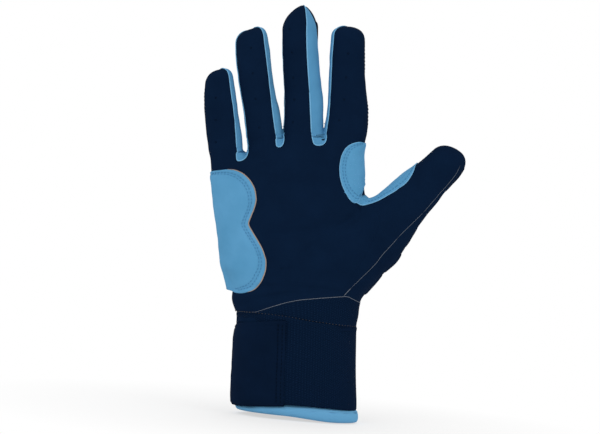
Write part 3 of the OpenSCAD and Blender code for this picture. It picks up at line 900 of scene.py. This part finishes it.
def stall_pad(name, part):
    """Foam block on the back of half a stall, a cushion over stations q0 to q1."""
    _, s1, s2, s3 = FOLD_STATIONS[name]
    s, word = STALLS[name], ("lower", "upper")[part]
    tip_gap = 9.0 if name == "middle" else 5.0
    q0, q1 = (s1 - 1.0, s2 + 1.0) if part == 0 else (s3 - 1.0, s["L"] - tip_gap)
    mid, half, high = (162, 62, 1.9) if name == "thumb" else (180 + s["twist"] * 0.95, 47, 3.7)
    (p, n), st, f = stall_skin(name, q0, q1, mid - half, mid + half, step=0.9)
    rise = puff((st - q0) / (q1 - q0) * 2 - 1, (f - mid) / half)
    pd = Part()
    pd.skin(laid(p, n, 0.15 + high * rise), n, 0.25 + 2.2 * rise)
    ob = pd.piece("%s_pad_%s" % (name, word), [QUILT])
    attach(ob, "%s_%s" % (name, word))
    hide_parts("%s_pad_%s" % (name, word))


for name in STALLS:
    for part in (0, 1):
        stall_front(name, part)
        stall_back(name, part)
        if name != "thumb":
            stall_gussets(name, part)
        if name != "thumb" or part == 1:
            stall_pad(name, part)

# ---------------------------------------------------------------- palm and back of the hand

# Right edge of the sheet by height, and its upper edge in the stall roots by x.
X_CUT = curve(
    [(80, 22), (92, 27), (100, 32), (115, 38), (126, 41), (132, 39), (136, 32.5), (141, 28.8)]
    + [(180, 28.4)],
    1.2,
)
ROOTS = curve(
    [(-72, 160), (-59, 160.8), (-47.7, 165), (-35.6, 170.8), (-25.2, 173), (-12.6, 174.8)]
    + [(0.2, 176), (14.8, 176.8), (34, 176.8)],
    2.0,
)
SHEET_LOW = 91


def oval_rays(a, b, d, z, f, side):
    """Rays from the middle of an oval of edges a and b and half depth d, at angles f."""
    fr = np.radians(f)
    across, deep = (b - a) / 2 * spow(np.sin(fr), 0.85), side * d * spow(np.cos(fr), 0.85)
    return np.stack([(a + b) / 2, 0 * z, z], -1), np.stack([across, deep, 0 * z], -1)


def wrist_side(part, side, off):
    """The ring just above the wrist, out to both edges of the hand."""
    z, f = grid(np.linspace(81.5, 97, 18), np.linspace(-91, 91, 110))
    right = np.maximum(X_RIGHT(z), 41 + (z - 84) * 0.55)
    p, n = solve(*oval_rays(X_LEFT(z), right, HALF_DEPTH(z), z, f, side), ["thumb"], far=60)
    p = laid(p, n, off - 0.12 * smooth(93, 95, z) - 0.2 * smooth(83.5, 82.5, z))
    part.skin(p[:, ::-side], n[:, ::-side], LEATHER)


def main_side(part, side, off):
    """The main sheet: a fan round the little-finger edge, straight rays, a fan at the index edge.

    Only points that start well inside the hand are kept.
    """
    v, u = grid(np.linspace(0, 1, 118), np.linspace(0, 1, 150))
    height = SHEET_LOW + (177 - SHEET_LOW) * v
    xl, xc = X_LEFT(np.minimum(height, 160)), X_CUT(height)
    fan, web = 0.13, smooth(134, 141, height)
    k = np.clip((u - fan) / (1 - 2 * fan), 0, 1)
    x = xl + 10 + (xc - 9 * web - xl - 10) * k
    turn = 92 * web * np.clip((u - 1 + fan) / fan, 0, 1)
    ang = np.radians(-92 * np.clip(1 - u / fan, 0, 1) + turn)
    z = SHEET_LOW + (ROOTS(np.where(u < fan, xl, np.where(u > 1 - fan, xc, x))) - SHEET_LOW) * v
    o = np.stack([x, 0 * x, z], -1)
    live = field(o.reshape(-1, 3)).reshape(x.shape) < -1.0
    p, n = solve(o, np.stack([np.sin(ang), side * np.cos(ang), 0 * x], -1), LIMBS)
    p = laid(p, n, off)
    keep = live[:-1, :-1] & live[1:, :-1] & live[:-1, 1:] & live[1:, 1:]
    part.skin(p[:, ::-side], n[:, ::-side], LEATHER, keep=keep[:, ::-side])


def thumb_root(part, side, off):
    """The ball of the thumb, round the lower part of the thumb's own axis."""
    a, f = grid(np.linspace(-56, -13.6, 44), np.linspace(0, 1, 60))
    start = np.where(a > -24, -34 - smooth(-24, -15.5, a) * 60, -34)
    f = start + (91 - start) * f
    o, d = stall_rays("thumb", a, 180 - f if side == BACK else f)
    p, n = solve(o, d, ["thumb", "index"], far=38)
    p = laid(p, n, off - 0.06)
    part.skin(p[:, ::-side], n[:, ::-side], LEATHER)


def hand_sheet(part, side, off=0.0):
    """The front or back of the hand, from the wrist up into the stall roots.

    Columns run to the right. On the back they are taken in reverse, so that faces look out.
    """
    wrist_side(part, side, off)
    main_side(part, side, off)
    thumb_root(part, side, off)


def palm_leather():
    """Palm leather with its grey thumb seam and a field of pricked dots."""
    pl = Part()
    hand_sheet(pl, FRONT)
    seam = cut_line(THUMB_SEAM, -62, -15.5, "thumb")
    thread(pl, seam[seam[:, 1] > 82.8], 1, 0.13)
    for i in range(7):
        for j in range(6):
            dot(pl, -12 + 3.1 * i + 1.3 * (j % 2), 118 + 2.6 * j, 0.16, 2, 0.03)
    ob = pl.piece("palm_leather_skin", [SUEDE, THREAD_GREY, FLECK])
    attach(ob, "hand")
    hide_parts("palm_leather")


def hand_back():
    """Stretch fabric over the back of the hand."""
    bh = Part()
    hand_sheet(bh, BACK, -0.12)
    ob = bh.piece("hand_back_skin", [STRETCH])
    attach(ob, "hand")
    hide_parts("hand_back")


palm_leather()
hand_back()

# ---------------------------------------------------------------- padded blocks on the back


def back_blocks():
    """Three rows of quilted blocks in four columns, and two blocks on the thumb root."""
    pads = Part()
    knuckle_rise = (0, 6, 7.8, 6)
    for z0, z1, knuckles in ((142, 162, True), (109, 139, False), (87.5, 106, False)):
        for k in range(4):
            u, v = grid(np.linspace(-1, 1, 34), np.linspace(-1, 1, 26))
            top = z1 + (knuckle_rise[k] - (3 if k == 0 else 0) if knuckles else 0)
            z = z0 + (top - z0) * (u + 1) / 2
            xa, xb = X_LEFT(z) + 5, np.minimum(X_RIGHT(z), 31) - 3.5
            x = xa + (xb - xa) * (k + 0.5 + 0.46 * v) / 4
            p, n = plane_skin(x, z, BACK)
            rise = puff(u, v)
            q = laid(p, n, 0.1 + 3.9 * rise)
            pads.skin(q[::-1], n[::-1], 0.3 + 2.2 * rise)
    for a0, a1 in ((-55.5, -39), (-37, -21.5)):
        u, v = grid(np.linspace(-1, 1, 26), np.linspace(-1, 1, 36))
        o, d = stall_rays("thumb", a0 + (a1 - a0) * (u + 1) / 2, 128 + 48 * v)
        p, n = solve(o, d, ["thumb", "index"], far=38)
        rise = puff(u, v)
        pads.skin(laid(p, n, 0.1 + 1.3 * rise), n, 0.3 + 1.0 * rise)
    ob = pads.piece("back_pad_blocks", [QUILT])
    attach(ob, "hand")
    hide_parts("back_pads")


back_blocks()

# ---------------------------------------------------------------- finger crotches

# Lowest point of each front rim, and how round its left and right corners are.
CROTCH_RIMS = [(-48.1, 155.1, 0.5, 0.8), (-25.2, 165.5, 0.5, 0.7), (-2.0, 168.7, 0.65, 0.9)]
CROTCH_HALF = 0.85  # depth over width of the sweep of rays


def crotch_leg(name, edge, sign, valley):
    """A stall beside a crotch: station and distance of the valley, its direction, the skin's
    distance and depth at the front rim, and the rim's angle."""
    s, (st, across, _) = STALLS[name], local(name, valley[None])
    lean, f = math.radians(s["lean"]), math.radians(edge)
    w = float(s["width"](st[0])) + (float(s["extra"](st[0])) if sign > 0 else 0)
    e = np.array([math.cos(lean), 0, -math.sin(lean)]) * sign
    return st[0], sign * across[0], e, w * math.sin(f) ** OVAL, CROTCH_HALF * w * math.cos(f) ** OVAL, edge


def crotch_row(v, legs, names, rim, valley):
    """One row of rays: down the left leg for v 0 to 1, round the U to 2, up the right leg to 3.

    Round the U the rim follows powers of cosine and sine between the legs' lower ends and
    the lowest point, and the rays look at the valley.
    """
    half = 0 if v < 1.5 else 1
    st, near, e, inner, deep, edge = legs[half]
    if 1 < v < 2:
        xc, zc, soft = rim[0], rim[1], rim[2 + half]
        t = math.pi * (v - 1)
        k = math.sin(t) ** (0.85 * soft)
        top = valley - e * (near - inner)
        low = np.array([xc + (top[0] - xc) * abs(math.cos(t)) ** soft, 0, top[2] + (zc - top[2]) * k])
        e = (valley - low) / np.linalg.norm(valley - low)
        gap, deep = inner * (1 - k) + 6.0 * k, deep * (1 - k) + 10.4 * k
        start = math.degrees(math.atan((CROTCH_HALF * gap / deep) ** (1 / OVAL)))
        return low - e * gap, start, 118 + 14 * k, e
    # The row at v = 1 reaches twice as far down and lies under the U.
    a = 1.4 + (min(st, 0) - 1.4) * (v if v < 1 else 3 - v)
    return axis_point(names[half], np.array(a)) + 0, edge, 118, e


def crotch(cr, left, right, rim):
    """Blue U between two stalls: down one stall, round the bottom, up the other.

    Rows of rays sweep from the palm side to the back, starting deeper in the hand than
    the rim. The slot's valley is where both stalls' fields are equal. Each ray ends at the
    skin, or at the plane through the valley that faces it, where the two halves meet.
    """
    xc, zc = rim[:2]
    x = np.linspace(xc - 4, xc + 7, 221)
    v = np.stack([x, 0 * x - 4, 0 * x + zc + 7.5], -1)
    valley = np.array([x[np.argmin(np.abs(limb(left, v) - limb(right, v)))], 0.0, zc + 7.5])
    legs = (
        crotch_leg(left, EDGE_ANGLES[left][2], 1, valley),
        crotch_leg(right, min(-EDGE_ANGLES[right][1], 68), -1, valley),
    )
    m = 40
    places = np.concatenate([np.linspace(0, 1, 14), np.linspace(1, 2, 61)[1:], np.linspace(2, 3, 14)[1:]])
    rows = []
    for v in places:
        o, f0, f1, e = crotch_row(v, legs, (left, right), rim, valley)
        f = np.radians(np.linspace(f0, f1, m))
        d = spow(np.sin(f), OVAL)[:, None] * e + np.outer(-CROTCH_HALF * spow(np.cos(f), OVAL), [0, 1, 0])
        d = d / np.linalg.norm(d, axis=1)[:, None]
        rows.append((np.repeat(o[None], m, 0), d, np.repeat(e[None], m, 0)))
    o, d, e = (np.stack([r[i] for r in rows]) for i in (0, 1, 2))
    far = np.maximum(((valley - o) * e).sum(-1) + 0.75, 0.8) / np.maximum((d * e).sum(-1), 0.05)
    p, n = solve(o, d, [left, right], far=np.minimum(far, 30))
    n = np.where(((valley - p) * e).sum(-1)[..., None] < -0.7, e, n)
    w = np.linspace(0, 1, m)[None]
    low = np.array([smooth(0.25, 0, min(v, 3 - v)) for v in places])[:, None]
    cr.skin(laid(p, n, 0.28 + 0.2 * bump_at(w, 0, 0.08) - 0.4 * low + 0 * p[..., 0]), n, CLOTH)
    # Both edges get a tube in the paler blue, a painted highlight along the folded rim.
    for j in (0, -1):
        cr.tube(laid(p[:, j], n[:, j], 0.4), 0.42, 1, nrm=n[:, j], flat=0.6)


def finger_crotches():
    """The three blue crotches, from the little finger's to the index finger's."""
    cr = Part()
    for g, rim in enumerate(CROTCH_RIMS):
        crotch(cr, FINGERS[3 - g], FINGERS[2 - g], rim)
    ob = cr.piece("finger_crotch_skins", [GUSSET, BLUE_HIGHLIGHT])
    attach(ob, "hand")
    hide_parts("finger_crotches")


finger_crotches()

# ---------------------------------------------------------------- wrist

# Lower edge of the wrist piece and upper edge of the knitted wedge, by x.
WRIST_LOW = curve(
    [(-46, 62.1), (-42, 62.1), (-30.3, 62.7), (-14, 62.3), (3.5, 60.7), (19.2, 59.7), (33, 59.1)],
    2,
)
WEDGE_UP = curve(
    [(-30.3, 63.2), (-20.7, 67.1), (-11.1, 70.8), (-3.8, 73), (8.5, 75.3), (22.6, 77.7)]
    + [(28.5, 75.5), (36, 73)],
    1,
)


def wrist_ring(z, f):
    """Skin round the wrist at height z and angle f in degrees from the palm side."""
    right = np.maximum(X_RIGHT(z), np.where(z > 77, 35 + (z - 77) * 0.8, 0))
    return solve(*oval_rays(X_LEFT(z), right, HALF_DEPTH(z), z, f, FRONT), ["thumb"], far=60)


def ring_x(f):
    """x of the wrist's oval at angle f from the palm side, for the edge curves."""
    return -5.5 + 38.5 * spow(np.sin(np.radians(f)), 0.85)


def wrist():
    """Soft tube between cuff and hand; below its lower edge it dips under the cuff."""
    wr = Part()
    z, f = grid(np.linspace(56.5, 84.6, 36), np.linspace(-180, 180, 180)[:-1])
    p, n = wrist_ring(z, f)
    tuck = smooth(-0.4, 0.8, z - WRIST_LOW(p[..., 0]))
    wr.skin(laid(p, n, -0.15 * smooth(83.4, 84.2, z) - 0.9 * (1 - tuck)), n, 1.3, wrap=True)
    ob = wr.piece("wrist_skin", [SUEDE])
    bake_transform(ob)
    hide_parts("wrist_flex")


def wedge():
    """Knitted wedge on the palm side of the wrist, with its grey and tan seams."""
    wd = Part()
    v, f = grid(np.linspace(0, 1, 22), np.linspace(-42, 112, 100))
    x = ring_x(np.minimum(f, 90))
    z = WRIST_LOW(x) + 0.2 + (WEDGE_UP(x) - WRIST_LOW(x) - 0.2) * v
    p, n = wrist_ring(z, f)
    weave = np.stack([np.radians(f) * 30, z], -1)
    wd.skin(laid(p, n, 0.28 - 0.2 * smooth(0.95, 1, v)), n, 0.7, uv=weave)
    wd.tube(laid(p[-1], n[-1], 0.2), 0.17, 1, nrm=n[-1], flat=0.7)
    f = np.linspace(-100, 112, 150)
    p, n = wrist_ring(WRIST_LOW(ring_x(np.clip(f, -90, 90))) + 0.35, f)
    wd.tube(laid(p, n, 0.15), 0.24, 2, dash=(1.5, 0.6), nrm=n, flat=0.7)
    thread(wd, np.array([(22.6, 77.7), (24.6, 80.2), (26.8, 83.0)]), 1, 0.22, 0.2)
    ob = wd.piece("wrist_wedge_skin", [KNIT, THREAD_GREY, THREAD_TAN])
    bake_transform(ob)
    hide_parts("wrist_wedge")


wrist()
wedge()

# ---------------------------------------------------------------- blue patches

# Outlines in the hand plane, from the upper to the lower end.
HEEL = [(-68.5, 143.0), (-64.3, 145.4), (-61.2, 147.5), (-56.5, 148.9), (-50.2, 148.9), (-45.1, 147.1)]
HEEL += [(-40.4, 143.2), (-37.3, 138.5), (-35.7, 131.8), (-36.5, 126.7), (-38.1, 121.6), (-39.6, 116.5)]
HEEL += [(-36.8, 112.4), (-32.9, 107.1), (-29.3, 101.8), (-26.5, 95.2), (-26.3, 89.0), (-28.2, 82.0)]
HEEL += [(-32.1, 76.7), (-38.1, 73.7), (-42.9, 73.6), (-46.2, 75.0)]
WEB = [(27.3, 172.8), (23.6, 173.1), (18.8, 171.1), (15.6, 168.0), (13.6, 162.8), (13.1, 156.0)]
WEB += [(14.1, 149.8), (16.1, 144.4), (19.0, 139.7), (21.9, 135.2), (24.9, 132.0), (28.4, 131.2)]
WEB += [(31.8, 132.8), (34.4, 135.4)]


def heel():
    """Figure-of-eight pad that wraps the little-finger edge, with two rows of stitches.

    Rows run from a line on the back, round the edge, to the outline. The pad rises at its
    outline, swells further in and is pressed down along its seam.
    """
    m, back = 150, 7.0
    around_edge = ["little", "ring"]
    x, z = resample(HEEL, m, 1.2)
    k = np.arange(m)
    q = np.where(k < 4, 0, left_distance(x, z))
    zs = np.linspace(145.4, 78.5, m)
    u = np.linspace(0, 1, 50) ** 0.8
    reach = -back + (q[:, None] + back) * u[None]
    height = zs[:, None] + (z - zs)[:, None] * u[None] ** 1.3
    p, n = solve(*left_rays(reach, height), around_edge)
    from_end = np.minimum(k, m - 1 - k)
    edge = (1 - u)[None] * np.maximum(q + back, 9)[:, None]
    ends = from_end[:, None] * 0.9
    near, far = np.minimum(edge, ends + 0.25), np.minimum(edge, ends + 2.5)
    lift = 0.85 * smooth(-0.3, 0.9, near) + 0.35 * smooth(2, 9, far) - 0.24 * bump_at(far, 3.4, 0.8)
    lift *= (0.4 + 0.6 * smooth(0, 14, from_end))[:, None]
    pad = Part()
    outside = laid(p, n, 0.1 + lift)
    pad.skin(outside[::-1], n[::-1], 0.9)
    for inset in (2.6, 4.2):
        uu = 1 - inset / np.maximum(q + back, 9)
        s = slice(12, m - 10)
        rays = left_rays((-back + (q + back) * uu)[s], (zs + (z - zs) * uu**1.3)[s])
        sp, sn = solve(*rays, around_edge)
        pad.tube(laid(sp, sn, 1.02), 0.26, 1, dash=(1.5, 0.7), nrm=sn)
    s = slice(18, m - 14)
    pad.tube(laid(p[s, -1], n[s, -1], 0.42), 0.36, 2, nrm=n[s, -1])
    ob = pad.piece("heel_pad_skin", [BLUE, THREAD_BLUE, RAW])
    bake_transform(ob)
    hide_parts("heel_pad")


def web():
    """Crescent at the web of thumb and index finger, with two rows of stitches, and pale dots that paint the
    highlights of its perforations.

    Rows run from a line on the back, round a quarter circle at the web's edge, to the
    outline. Low rows tilt up, because the web slopes towards the thumb.
    """
    m, r, edge_x = 90, 9.0, 29.2
    x, z = resample(WEB, m, 1.2)
    u = np.linspace(0, 1, 38)
    zs = np.linspace(172.6, 137.4, m)
    c = np.clip((x - (edge_x - r)) / r, -1, 1)
    round_edge, on_palm = r * np.arccos(c), edge_x - r - x + r * math.pi / 2
    q = np.maximum(np.where(x > edge_x - r, round_edge, on_palm), 0.5)
    back = 1.0 + 4.0 * smooth(140, 156, zs)
    reach = -back[:, None] + (q + back)[:, None] * u[None]
    height = zs[:, None] + (z - zs)[:, None] * u[None]
    th = math.pi / 2 - np.minimum(reach, r * math.pi / 2) / r
    up = np.radians(62) * smooth(152, 139, zs)[:, None] * np.clip(np.sin(th), 0, 1) ** 0.7
    xo = edge_x - r - np.maximum(reach - r * math.pi / 2, 0)
    d = np.stack([np.sin(th) * np.cos(up), -np.cos(th), np.sin(th) * np.sin(up)], -1)
    p, n = solve(np.stack([xo, 0 * xo, height], -1), d, ["index", "middle", "thumb"])
    k = np.arange(m)
    edge = (1 - u)[None] * (q + back)[:, None]
    edge = np.minimum(edge, np.minimum(k, m - 1 - k)[:, None] * 0.8 + 0.8)
    lift = 0.75 * smooth(-0.3, 0.8, edge) + 0.25 * smooth(2, 6, edge) - 0.2 * bump_at(edge, 2.6, 0.7)
    outside = laid(p, n, 0.1 + lift)
    w = Part()
    w.skin(outside, n, CLOTH)

    def at(inset, rows):
        """Points and normals of the patch, inset from its outline on the given rows."""
        g = (1 - inset / (np.maximum(q, 3) + back))[rows] * (len(u) - 1)
        g = np.clip(g, 0, len(u) - 1.001)
        j = g.astype(int)
        t = (g - j)[:, None]
        return outside[rows, j] * (1 - t) + outside[rows, j + 1] * t, n[rows, j]

    for inset in (2.0, 3.6):
        sp, sn = at(inset, np.arange(6, m - 8))
        w.tube(sp + sn * 0.12, 0.24, 1, dash=(1.4, 0.7), nrm=sn)
    # A pale tube along the outline paints the highlight on the patch's edge.
    sp, sn = at(0.25, np.arange(3, m - 5))
    w.tube(sp + sn * 0.02, 0.3, 2, nrm=sn)
    # Dots in the paler blue: painted highlights of the perforations.
    for i in range(18, m - 18, 5):
        for inset in np.arange(6.5 + 1.2 * ((i // 5) % 2), 13, 2.4):
            if inset < q[i] + 1:
                sp, sn = at(inset, np.array([i]))
                w.disc(sp[0] + sn[0] * 0.1, sn[0], 0.28, 2)
    ob = w.piece("web_patch_skin", [BLUE, THREAD_BLUE, BLUE_HIGHLIGHT])
    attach(ob, "hand")
    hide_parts("web_patch")


heel()
web()

# ---------------------------------------------------------------- cuff

# Half width and middle of the cuff's oval by height; lower edges of band and flap and
# upper edge of the flap by x.
CUFF_HALF = curve([(0, 39.4), (6, 39.9), (12, 40.0), (24, 39.6), (43, 39.1), (52, 39.0), (61, 38.9)], 3)
CUFF_MIDDLE = curve([(0, -1.0), (6, -1.2), (12, -1.7), (24, -2.7), (43, -3.6), (52, -4.3), (61, -4.9)], 3)
BAND_LOW = curve([(-41, 6.2), (-30, 7.6), (-12, 8.8), (5, 8.9), (22, 8.3), (34, 7.2), (41, 6.6)], 3)
FLAP_LOW = curve([(-42, 4.7), (-34, 5.6), (-24, 6.8), (-12, 8.0), (0, 8.4)], 2)
FLAP_TOP = curve([(-46, 53.6), (-43, 54.6), (-40.9, 56), (-27.4, 58.2), (-15.1, 59.8), (0, 60.2)], 1.5)
CUFF_FLAT = 0.655  # depth over width of the cuff's oval
FLAP_ROOT, FLAP_FREE = -93, -9.0  # angles of the flap's sewn root and free end
MM_PER_DEGREE = 0.62  # round the cuff


def cuff_at(z, f):
    """Point, outward normal and unrolled place on the cuff's oval wall.

    The oval is the sine and cosine of the angle to a power just under one.
    """
    fr = np.radians(f)
    a = CUFF_HALF(z) - 2.6
    x = CUFF_MIDDLE(z) + a * spow(np.sin(fr), 0.94)
    p = np.stack([x, -a * CUFF_FLAT * spow(np.cos(fr), 0.94), z], -1)
    n = np.stack([np.sin(fr) * CUFF_FLAT, -np.cos(fr), 0 * z], -1)
    return p, n / np.linalg.norm(n, axis=-1)[..., None], np.stack([fr * 30.0, z], -1)


def out(p, n, off):
    """Points moved out by off."""
    return p + n * np.broadcast_to(off, p.shape[:-1])[..., None]


def band():
    """Knitted cuff band between its lower edge and the wrist, rounded at both edges."""
    cb = Part()
    v, f = grid(np.linspace(0, 1, 48), np.linspace(-180, 180, 181)[:-1])
    mirrored = np.where(np.abs(f) > 90, np.sign(f) * (180 - np.abs(f)), f)
    x = ring_x(np.clip(mirrored, -90, 90))
    low = BAND_LOW(x)
    p, n, weave = cuff_at(low + (WRIST_LOW(x) + 0.1 - low) * v, f)
    below, above = v * 54, (1 - v) * 54
    off = 0.9 + 0.25 * waves(p, 30, 11) - 0.5 * smooth(1.2, 0, np.minimum(below, above))
    cb.skin(out(p, n, off + 0.4 * smooth(4, 1, above)), n, 2.0, uv=weave, wrap=True)
    ob = cb.piece("cuff_band_skin", [KNIT])
    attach(ob, "cuff")
    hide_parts("cuff_band")


def sleeve():
    """Light sleeve inside the band, with a rolled hem round the cuff's mouth.

    A profile of distances out by height is carried round an oval. The hem is thinner
    under the flap's root, and its fold has a zigzag of overlock stitches.
    """
    half_width, half_depth, power = 37.9, 25, 0.96
    height = np.array([0.0, 0.0, 0.25, 1.0, 2.6, 5.0, 7.0, 8.0, 8.8, 12, 30, 58.0])
    profile = np.array([-4.4, -1.4, -0.6, 0.0, 0.4, 0.3, -0.4, -1.6, -2.6, -3.2, -3.3, -3.8])
    sl = Part()
    z, f = grid(height, np.linspace(-180, 180, 181)[:-1])
    fr = np.radians(f)
    off = profile[:, None] + 0.12 * np.sin(f * 0.31) * (z > 0.1) * (z < 8)
    off = off - 3.0 * smooth(2.6, 4.2, z) * smooth(-34, -56, f)
    x = np.interp(z, [0, 7, 60], [0.3, -0.2, -4.1]) + (half_width + off) * spow(np.sin(fr), power)
    p = np.stack([x, -(half_depth + off) * spow(np.cos(fr), power), z], -1)
    # The mouth is cut a little higher at the front and the little-finger side.
    p[..., 2] += 2.0 * smooth(26, -8, p[..., 0]) * smooth(14, -2, p[..., 1]) * smooth(9, 0, z)
    n = np.stack([np.sin(fr), -np.cos(fr), 0 * fr], -1)
    sl.skin(p, n, np.where(z < 0.3, 0.05, 1.4), wrap=True)
    # The zigzag of overlock stitches is drawn in the paler blue, with a painted highlight along the stitched
    # ridge.
    fr = np.radians(np.linspace(-130, 130, 209))
    zigzag = 6.2 + 0.55 * np.where(np.arange(209) % 2, 1, -1)
    p = np.stack([-0.1 + 37.8 * spow(np.sin(fr), power), -24.9 * spow(np.cos(fr), power), zigzag], -1)
    sl.tube(p, 0.16, 1, nrm=np.stack([np.sin(fr), -np.cos(fr), 0 * fr], -1))
    ob = sl.piece("cuff_sleeve_skin", [HEM_PAINTED_LIGHT, BLUE_HIGHLIGHT])
    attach(ob, "cuff")
    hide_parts("cuff_sleeve")


def flap():
    """Closing flap over the band, pressed down along two rows of stitches at its free end."""
    seams = (1.7, 4.2)
    fl = Part()
    v, f = grid(np.linspace(0, 1, 64), np.linspace(FLAP_ROOT, FLAP_FREE, 84))
    x = ring_x(np.maximum(f, -90))
    top, low = FLAP_TOP(x), FLAP_LOW(x)
    z = low + (top - low) * v
    p, n, _ = cuff_at(z, f)
    arc = (FLAP_FREE - f) * MM_PER_DEGREE
    edge = np.minimum(np.minimum(z - low, top - z), arc)
    lift = 2.7 - 0.9 * smooth(1.6, 0, edge)
    lift = lift - 0.55 * bump_at(arc, seams[1], 0.7) - 0.45 * bump_at(arc, seams[0], 0.5)
    lift = lift - 0.35 * bump_at(top - z, 2.6, 0.6) + 0.22 * waves(p, 34, 5) + 0.06 * waves(p, 8, 6)
    lift = lift - 1.2 * smooth(10, 0, top - z) * smooth(-55, -85, f)
    fl.skin(out(p, n, lift), n, LEATHER)
    for inset in seams:
        p, n, _ = cuff_at(np.linspace(9.6, 58.0, 90), np.full(90, FLAP_FREE - inset / MM_PER_DEGREE))
        fl.tube(out(p, n, 2.35 + 0.22 * waves(p, 34, 5)), 0.2, 1, dash=(1.6, 0.7), nrm=n)
    ob = fl.piece("cuff_flap_skin", [SMOOTH, THREAD_DARK])
    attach(ob, "flap")
    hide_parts("cuff_flap")


def tape(name, body, replaced, mat, angles, heights, off, thick):
    """A rectangle of hook or loop tape on the cuff's oval wall, off mm out of it."""
    tp = Part()
    z, f = grid(np.linspace(*heights, 30), np.linspace(*angles, 40))
    p, n, _ = cuff_at(z, f)
    tp.skin(out(p, n, off), n, thick)
    ob = tp.piece(name, [mat])
    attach(ob, body)
    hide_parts(replaced)


band()
sleeve()
flap()
tape("flap_hook_tape", "flap", "flap_hook", HOOK, (-34, -11), (13, 54), 1.62, 0.25)
tape("band_loop_tape", "cuff", "band_loop", LOOP, (-62, -9), (12, 55), 1.32, 0.3)

# ---------------------------------------------------------------- camera, light, floor

scene = bpy.context.scene


def place(name, data):
    """A new object in the scene."""
    ob = bpy.data.objects.new(name, data)
    scene.collection.objects.link(ob)
    return ob


def camera():
    """Long lens square to the palm, rolled by five degrees about its line of sight."""
    cam = bpy.data.cameras.new("camera")
    cam.lens, cam.sensor_width = 135, 36
    ob = place("camera", cam)
    roll, spot = math.radians(5), (-0.0082, -1.3945, 0.1236)
    right, up = (math.cos(roll), 0, math.sin(roll)), (-math.sin(roll), 0, math.cos(roll))
    rows = [[right[i], up[i], (0, -1, 0)[i], spot[i]] for i in range(3)]
    ob.matrix_world = Matrix(rows + [[0, 0, 0, 1]])
    scene.camera = ob


def eye_rays(t, names):
    """1 for rays of the named kinds, 0 for others."""
    path = node(t, "ShaderNodeLightPath")
    total = path.outputs[names[0]]
    for name in names[1:]:
        both = {0: total, 1: path.outputs[name]}
        total = node(t, "ShaderNodeMath", both, operation="MAXIMUM").outputs[0]
    return total


def studio(strength):
    """White background for camera, glossy and transmission rays, a plain level for light."""
    world = bpy.data.worlds.new("studio")
    scene.world = world
    world.use_nodes = True
    t = world.node_tree
    plain = t.nodes["Background"]
    plain.inputs["Strength"].default_value = strength
    plain.inputs["Color"].default_value = (1, 1, 1, 1)
    white = node(t, "ShaderNodeBackground", Strength=1.0, Color=(1, 1, 1, 1))
    seen = eye_rays(t, ("Is Camera Ray", "Is Glossy Ray", "Is Transmission Ray"))
    mix = node(t, "ShaderNodeMixShader", {0: seen, 1: plain.outputs[0], 2: white.outputs[0]})
    t.links.new(mix.outputs[0], t.nodes["World Output"].inputs["Surface"])


def lamp(name, spot, size, watts, aim=(0, 0, 0.13)):
    """Square area lamp that looks at the middle of the glove."""
    light = bpy.data.lights.new(name, "AREA")
    light.shape, light.size, light.energy = "SQUARE", size, watts
    ob = place(name, light)
    ob.location = spot
    ob.rotation_euler = (Vector(aim) - Vector(spot)).to_track_quat("-Z", "Y").to_euler()


def floor_finish(t, b):
    """Matt white that glows to full white away from the object, and keeps its shadow near it."""
    at = node(t, "ShaderNodeTexCoord").outputs["Object"]
    away = node(t, "ShaderNodeVectorMath", {0: at}, operation="LENGTH").outputs["Value"]
    span_of = {"From Min": 0.05, "From Max": 0.22, "To Min": 0.6, "To Max": 1.0}
    far = node(t, "ShaderNodeMapRange", {"Value": away, **span_of})
    seen = {0: far.outputs[0], 1: eye_rays(t, ("Is Camera Ray",))}
    glows = node(t, "ShaderNodeMath", seen, operation="MULTIPLY").outputs[0]
    glow = node(t, "ShaderNodeEmission")
    mix = node(t, "ShaderNodeMixShader", {0: glows, 1: b.outputs[0], 2: glow.outputs[0]})
    t.links.new(mix.outputs[0], t.nodes["Material Output"].inputs["Surface"])


def floor():
    """Pale floor just under the cuff."""
    half, z = 2, -0.0006
    me = bpy.data.meshes.new("floor")
    corners = [(-half, -half, z), (half, -half, z), (half, half, z), (-half, half, z)]
    me.from_pydata(corners, [], [(0, 1, 2, 3)])
    me.materials.append(material("pale_floor", "#F4F4F4", 0.9, floor_finish))
    place("floor", me)


camera()
studio(0.66)
lamp("key", (-0.9, -1.4, 1.3), 1.0, 9)
lamp("fill", (1.3, -0.9, 0.7), 1.0, 4)
lamp("rear", (0.2, 1.5, 1.0), 1.2, 6)
floor()

scene.view_settings.view_transform = "Standard"
